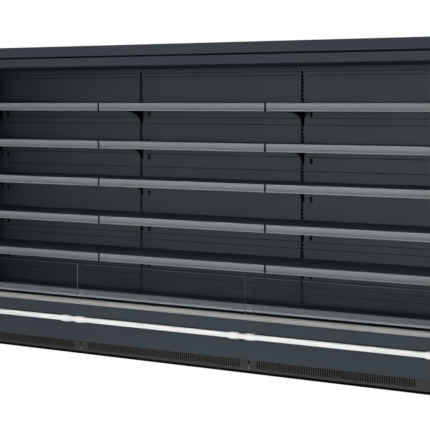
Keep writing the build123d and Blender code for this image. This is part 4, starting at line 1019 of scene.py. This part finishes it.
for k in range(GRATE_BARS):
    x = (k - (GRATE_BARS - 1) / 2) * GRATE_PITCH
    reach = math.sqrt(GRATE_REACH ** 2 - x ** 2)
    add_block(bm, (drain.x + x - MM, drain.y - reach, flange_foot),
              (drain.x + x + MM, drain.y + reach, high.z - GRATE_DROP))
outward(bm)
smoothed(piece("drain_moulding", "case", "black_plastic", bm, replaces=("drain_outlet",)), 30)

FOOT_INSET = (0.030, 0.026)  # of the outer feet, from the ends and from front and rear
PAD_TOP = 0.008
PAD_PROFILE = [(0, 0.0), (0.0255, 0.0), (0.0258, 0.002), (0.024, 0.0055), (0.011, PAD_TOP), (0, PAD_TOP)]
STUD_FOOT = 0.0078
THREAD_PITCH = 0.0025
THREAD = (0.0079, 0.0069)  # radius on the thread, and between its turns
NUT = (0.015, 0.009)  # radius and depth below the stud's top
low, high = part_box("levelling_feet")
pads, stems = bmesh.new(), bmesh.new()
for x in (low.x + FOOT_INSET[0], JOINTS[1], JOINTS[2], high.x - FOOT_INSET[0]):
    for y in (low.y + FOOT_INSET[1], high.y - FOOT_INSET[1]):
        place = Matrix.Translation((x, y, 0))
        add_lathe(pads, PAD_PROFILE, place)
        stud = [(0, STUD_FOOT)]
        for k in range(int((high.z - PAD_TOP) / THREAD_PITCH)):
            stud += [(THREAD[0], PAD_TOP + THREAD_PITCH * k), (THREAD[1], PAD_TOP + THREAD_PITCH * (k + 0.5))]
        add_lathe(stems, stud + [(THREAD[0], high.z), (0, high.z)], place, 20)
        add_lathe(stems, [(THREAD[0], high.z - NUT[1]), (NUT[0], high.z - NUT[1]), (NUT[0], high.z - MM),
                          (THREAD[0], high.z - MM)], place, 6)
outward(pads, stems)
smoothed(piece("foot_pads", "case", "black_plastic", pads, replaces=("levelling_feet",)))
piece("foot_studs", "case", "galvanised_steel", stems)

# ---------------------------------------- small eases on the folded and extruded nodes that show
EDGE_ROUND = 0.0012
SHEET_FOLD = 0.0007
for name in ("canopy_upper_band", "canopy_lower_band", "front_panel", "hand_rail",
             "end_wall_left", "end_wall_right"):
    eased(nodes[name], EDGE_ROUND)
for name in [f"shelf_{level}" for level in SHELF_LEVELS] + [f"deck_tray_{module}" for module in MODULES]:
    eased(nodes[name], SHEET_FOLD)

# ---------------------------------------- stage
FLOOR_SHADE = 0.12  # how much of the floor's own light and shadow the camera sees
FLOOR_GLOW = 1.1
FLOOR_DROP = 0.0005
mesh = bpy.data.meshes.new("studio_floor")
corners = ((-40, -40), (40, -40), (40, 60), (-40, 60))
mesh.from_pydata([(x, y, -FLOOR_DROP) for x, y in corners], [], [(0, 1, 2, 3)])
floor = bpy.data.objects.new("studio_floor", mesh)
bpy.context.scene.collection.objects.link(floor)
floor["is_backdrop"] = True
m = Nodes("studio_floor")
m.set(Base_Color=(0.9, 0.9, 0.9, 1.0), Roughness=0.9, Specular_IOR_Level=0.05)
path = m.node("ShaderNodeLightPath")
glow = m.node("ShaderNodeEmission")
glow.inputs["Color"].default_value = (1, 1, 1, 1)
glow.inputs["Strength"].default_value = FLOOR_GLOW
mixed = m.node("ShaderNodeMixShader")
m.link(m.spread(path.outputs["Is Camera Ray"], 0.0, 1.0 - FLOOR_SHADE, 0.0, 1.0), mixed.inputs[0])
m.link(m.shader.outputs["BSDF"], mixed.inputs[1])
m.link(glow.outputs["Emission"], mixed.inputs[2])
m.link(mixed.outputs["Shader"], m.tree.nodes["Material Output"].inputs["Surface"])
floor.data.materials.append(m.material)

AMBIENT = 0.40  # the world's light on the part; seen, it is plain white
world = bpy.data.worlds.new("studio")
bpy.context.scene.world = world
world.use_nodes = True
tree = world.node_tree
path = tree.nodes.new("ShaderNodeLightPath")
strength = tree.nodes.new("ShaderNodeMapRange")
strength.inputs["To Min"].default_value = AMBIENT
strength.inputs["To Max"].default_value = 1.0
shown = path.outputs["Is Camera Ray"]
for kind in ("Is Transmission Ray", "Is Glossy Ray"):
    either = tree.nodes.new("ShaderNodeMath")
    either.operation = "MAXIMUM"
    tree.links.new(shown, either.inputs[0])
    tree.links.new(path.outputs[kind], either.inputs[1])
    shown = either.outputs[0]
tree.links.new(shown, strength.inputs["Value"])
tree.nodes["Background"].inputs["Color"].default_value = (1, 1, 1, 1)
tree.links.new(strength.outputs["Result"], tree.nodes["Background"].inputs["Strength"])


def area(name, place, aim, size, watts, spread=180):
    """A rectangular lamp at a place, aimed at a point, that no gloss mirrors."""
    data = bpy.data.lights.new(name, "AREA")
    data.shape = "RECTANGLE"
    data.size, data.size_y = size
    data.energy = watts
    data.spread = math.radians(spread)
    made = bpy.data.objects.new(name, data)
    bpy.context.scene.collection.objects.link(made)
    made.location = place
    made.rotation_mode = "QUATERNION"
    made.visible_glossy = False
    made.rotation_quaternion = (Vector(aim) - Vector(place)).to_track_quat("-Z", "Y")


area("key_light", (-3.6, -14.0, 1.72), (2.1, 0.3, 1.2), (0.9, 0.7), 37, spread=30)
area("side_light", (5.0, -10.0, 1.3), (-1.7, 0.1, 0.85), (1.2, 1.0), 6.5, spread=24)
area("high_light", (0.6, -6.5, 6.8), (0.4, -0.2, 0.9), (4.5, 1.6), 62)
area("fill_light", (-3.4, -9.0, 1.7), (-1.4, -0.3, 0.6), (3.0, 1.6), 80)
area("top_light", (-2.2, -3.5, 9.0), (-1.8, -0.2, 0.6), (4.0, 1.6), 145)
area("rear_light", (-2.5, 8.0, 3.6), (0.0, 0.4, 1.0), (4.0, 2.5), 260)

camera_data = bpy.data.cameras.new("camera")
camera = bpy.data.objects.new("camera", camera_data)
bpy.context.scene.collection.objects.link(camera)
camera.location = (4.3825, -7.2601, 1.6374)
camera.rotation_euler = (math.radians(90 - 2.279), 0, math.radians(30.495))
camera_data.lens = 109.18
camera_data.shift_x = 0.0203
camera_data.shift_y = -0.14
camera_data.clip_end = 200
bpy.context.scene.camera = camera
bpy.context.scene.view_settings.view_transform = "Standard"

low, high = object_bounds()
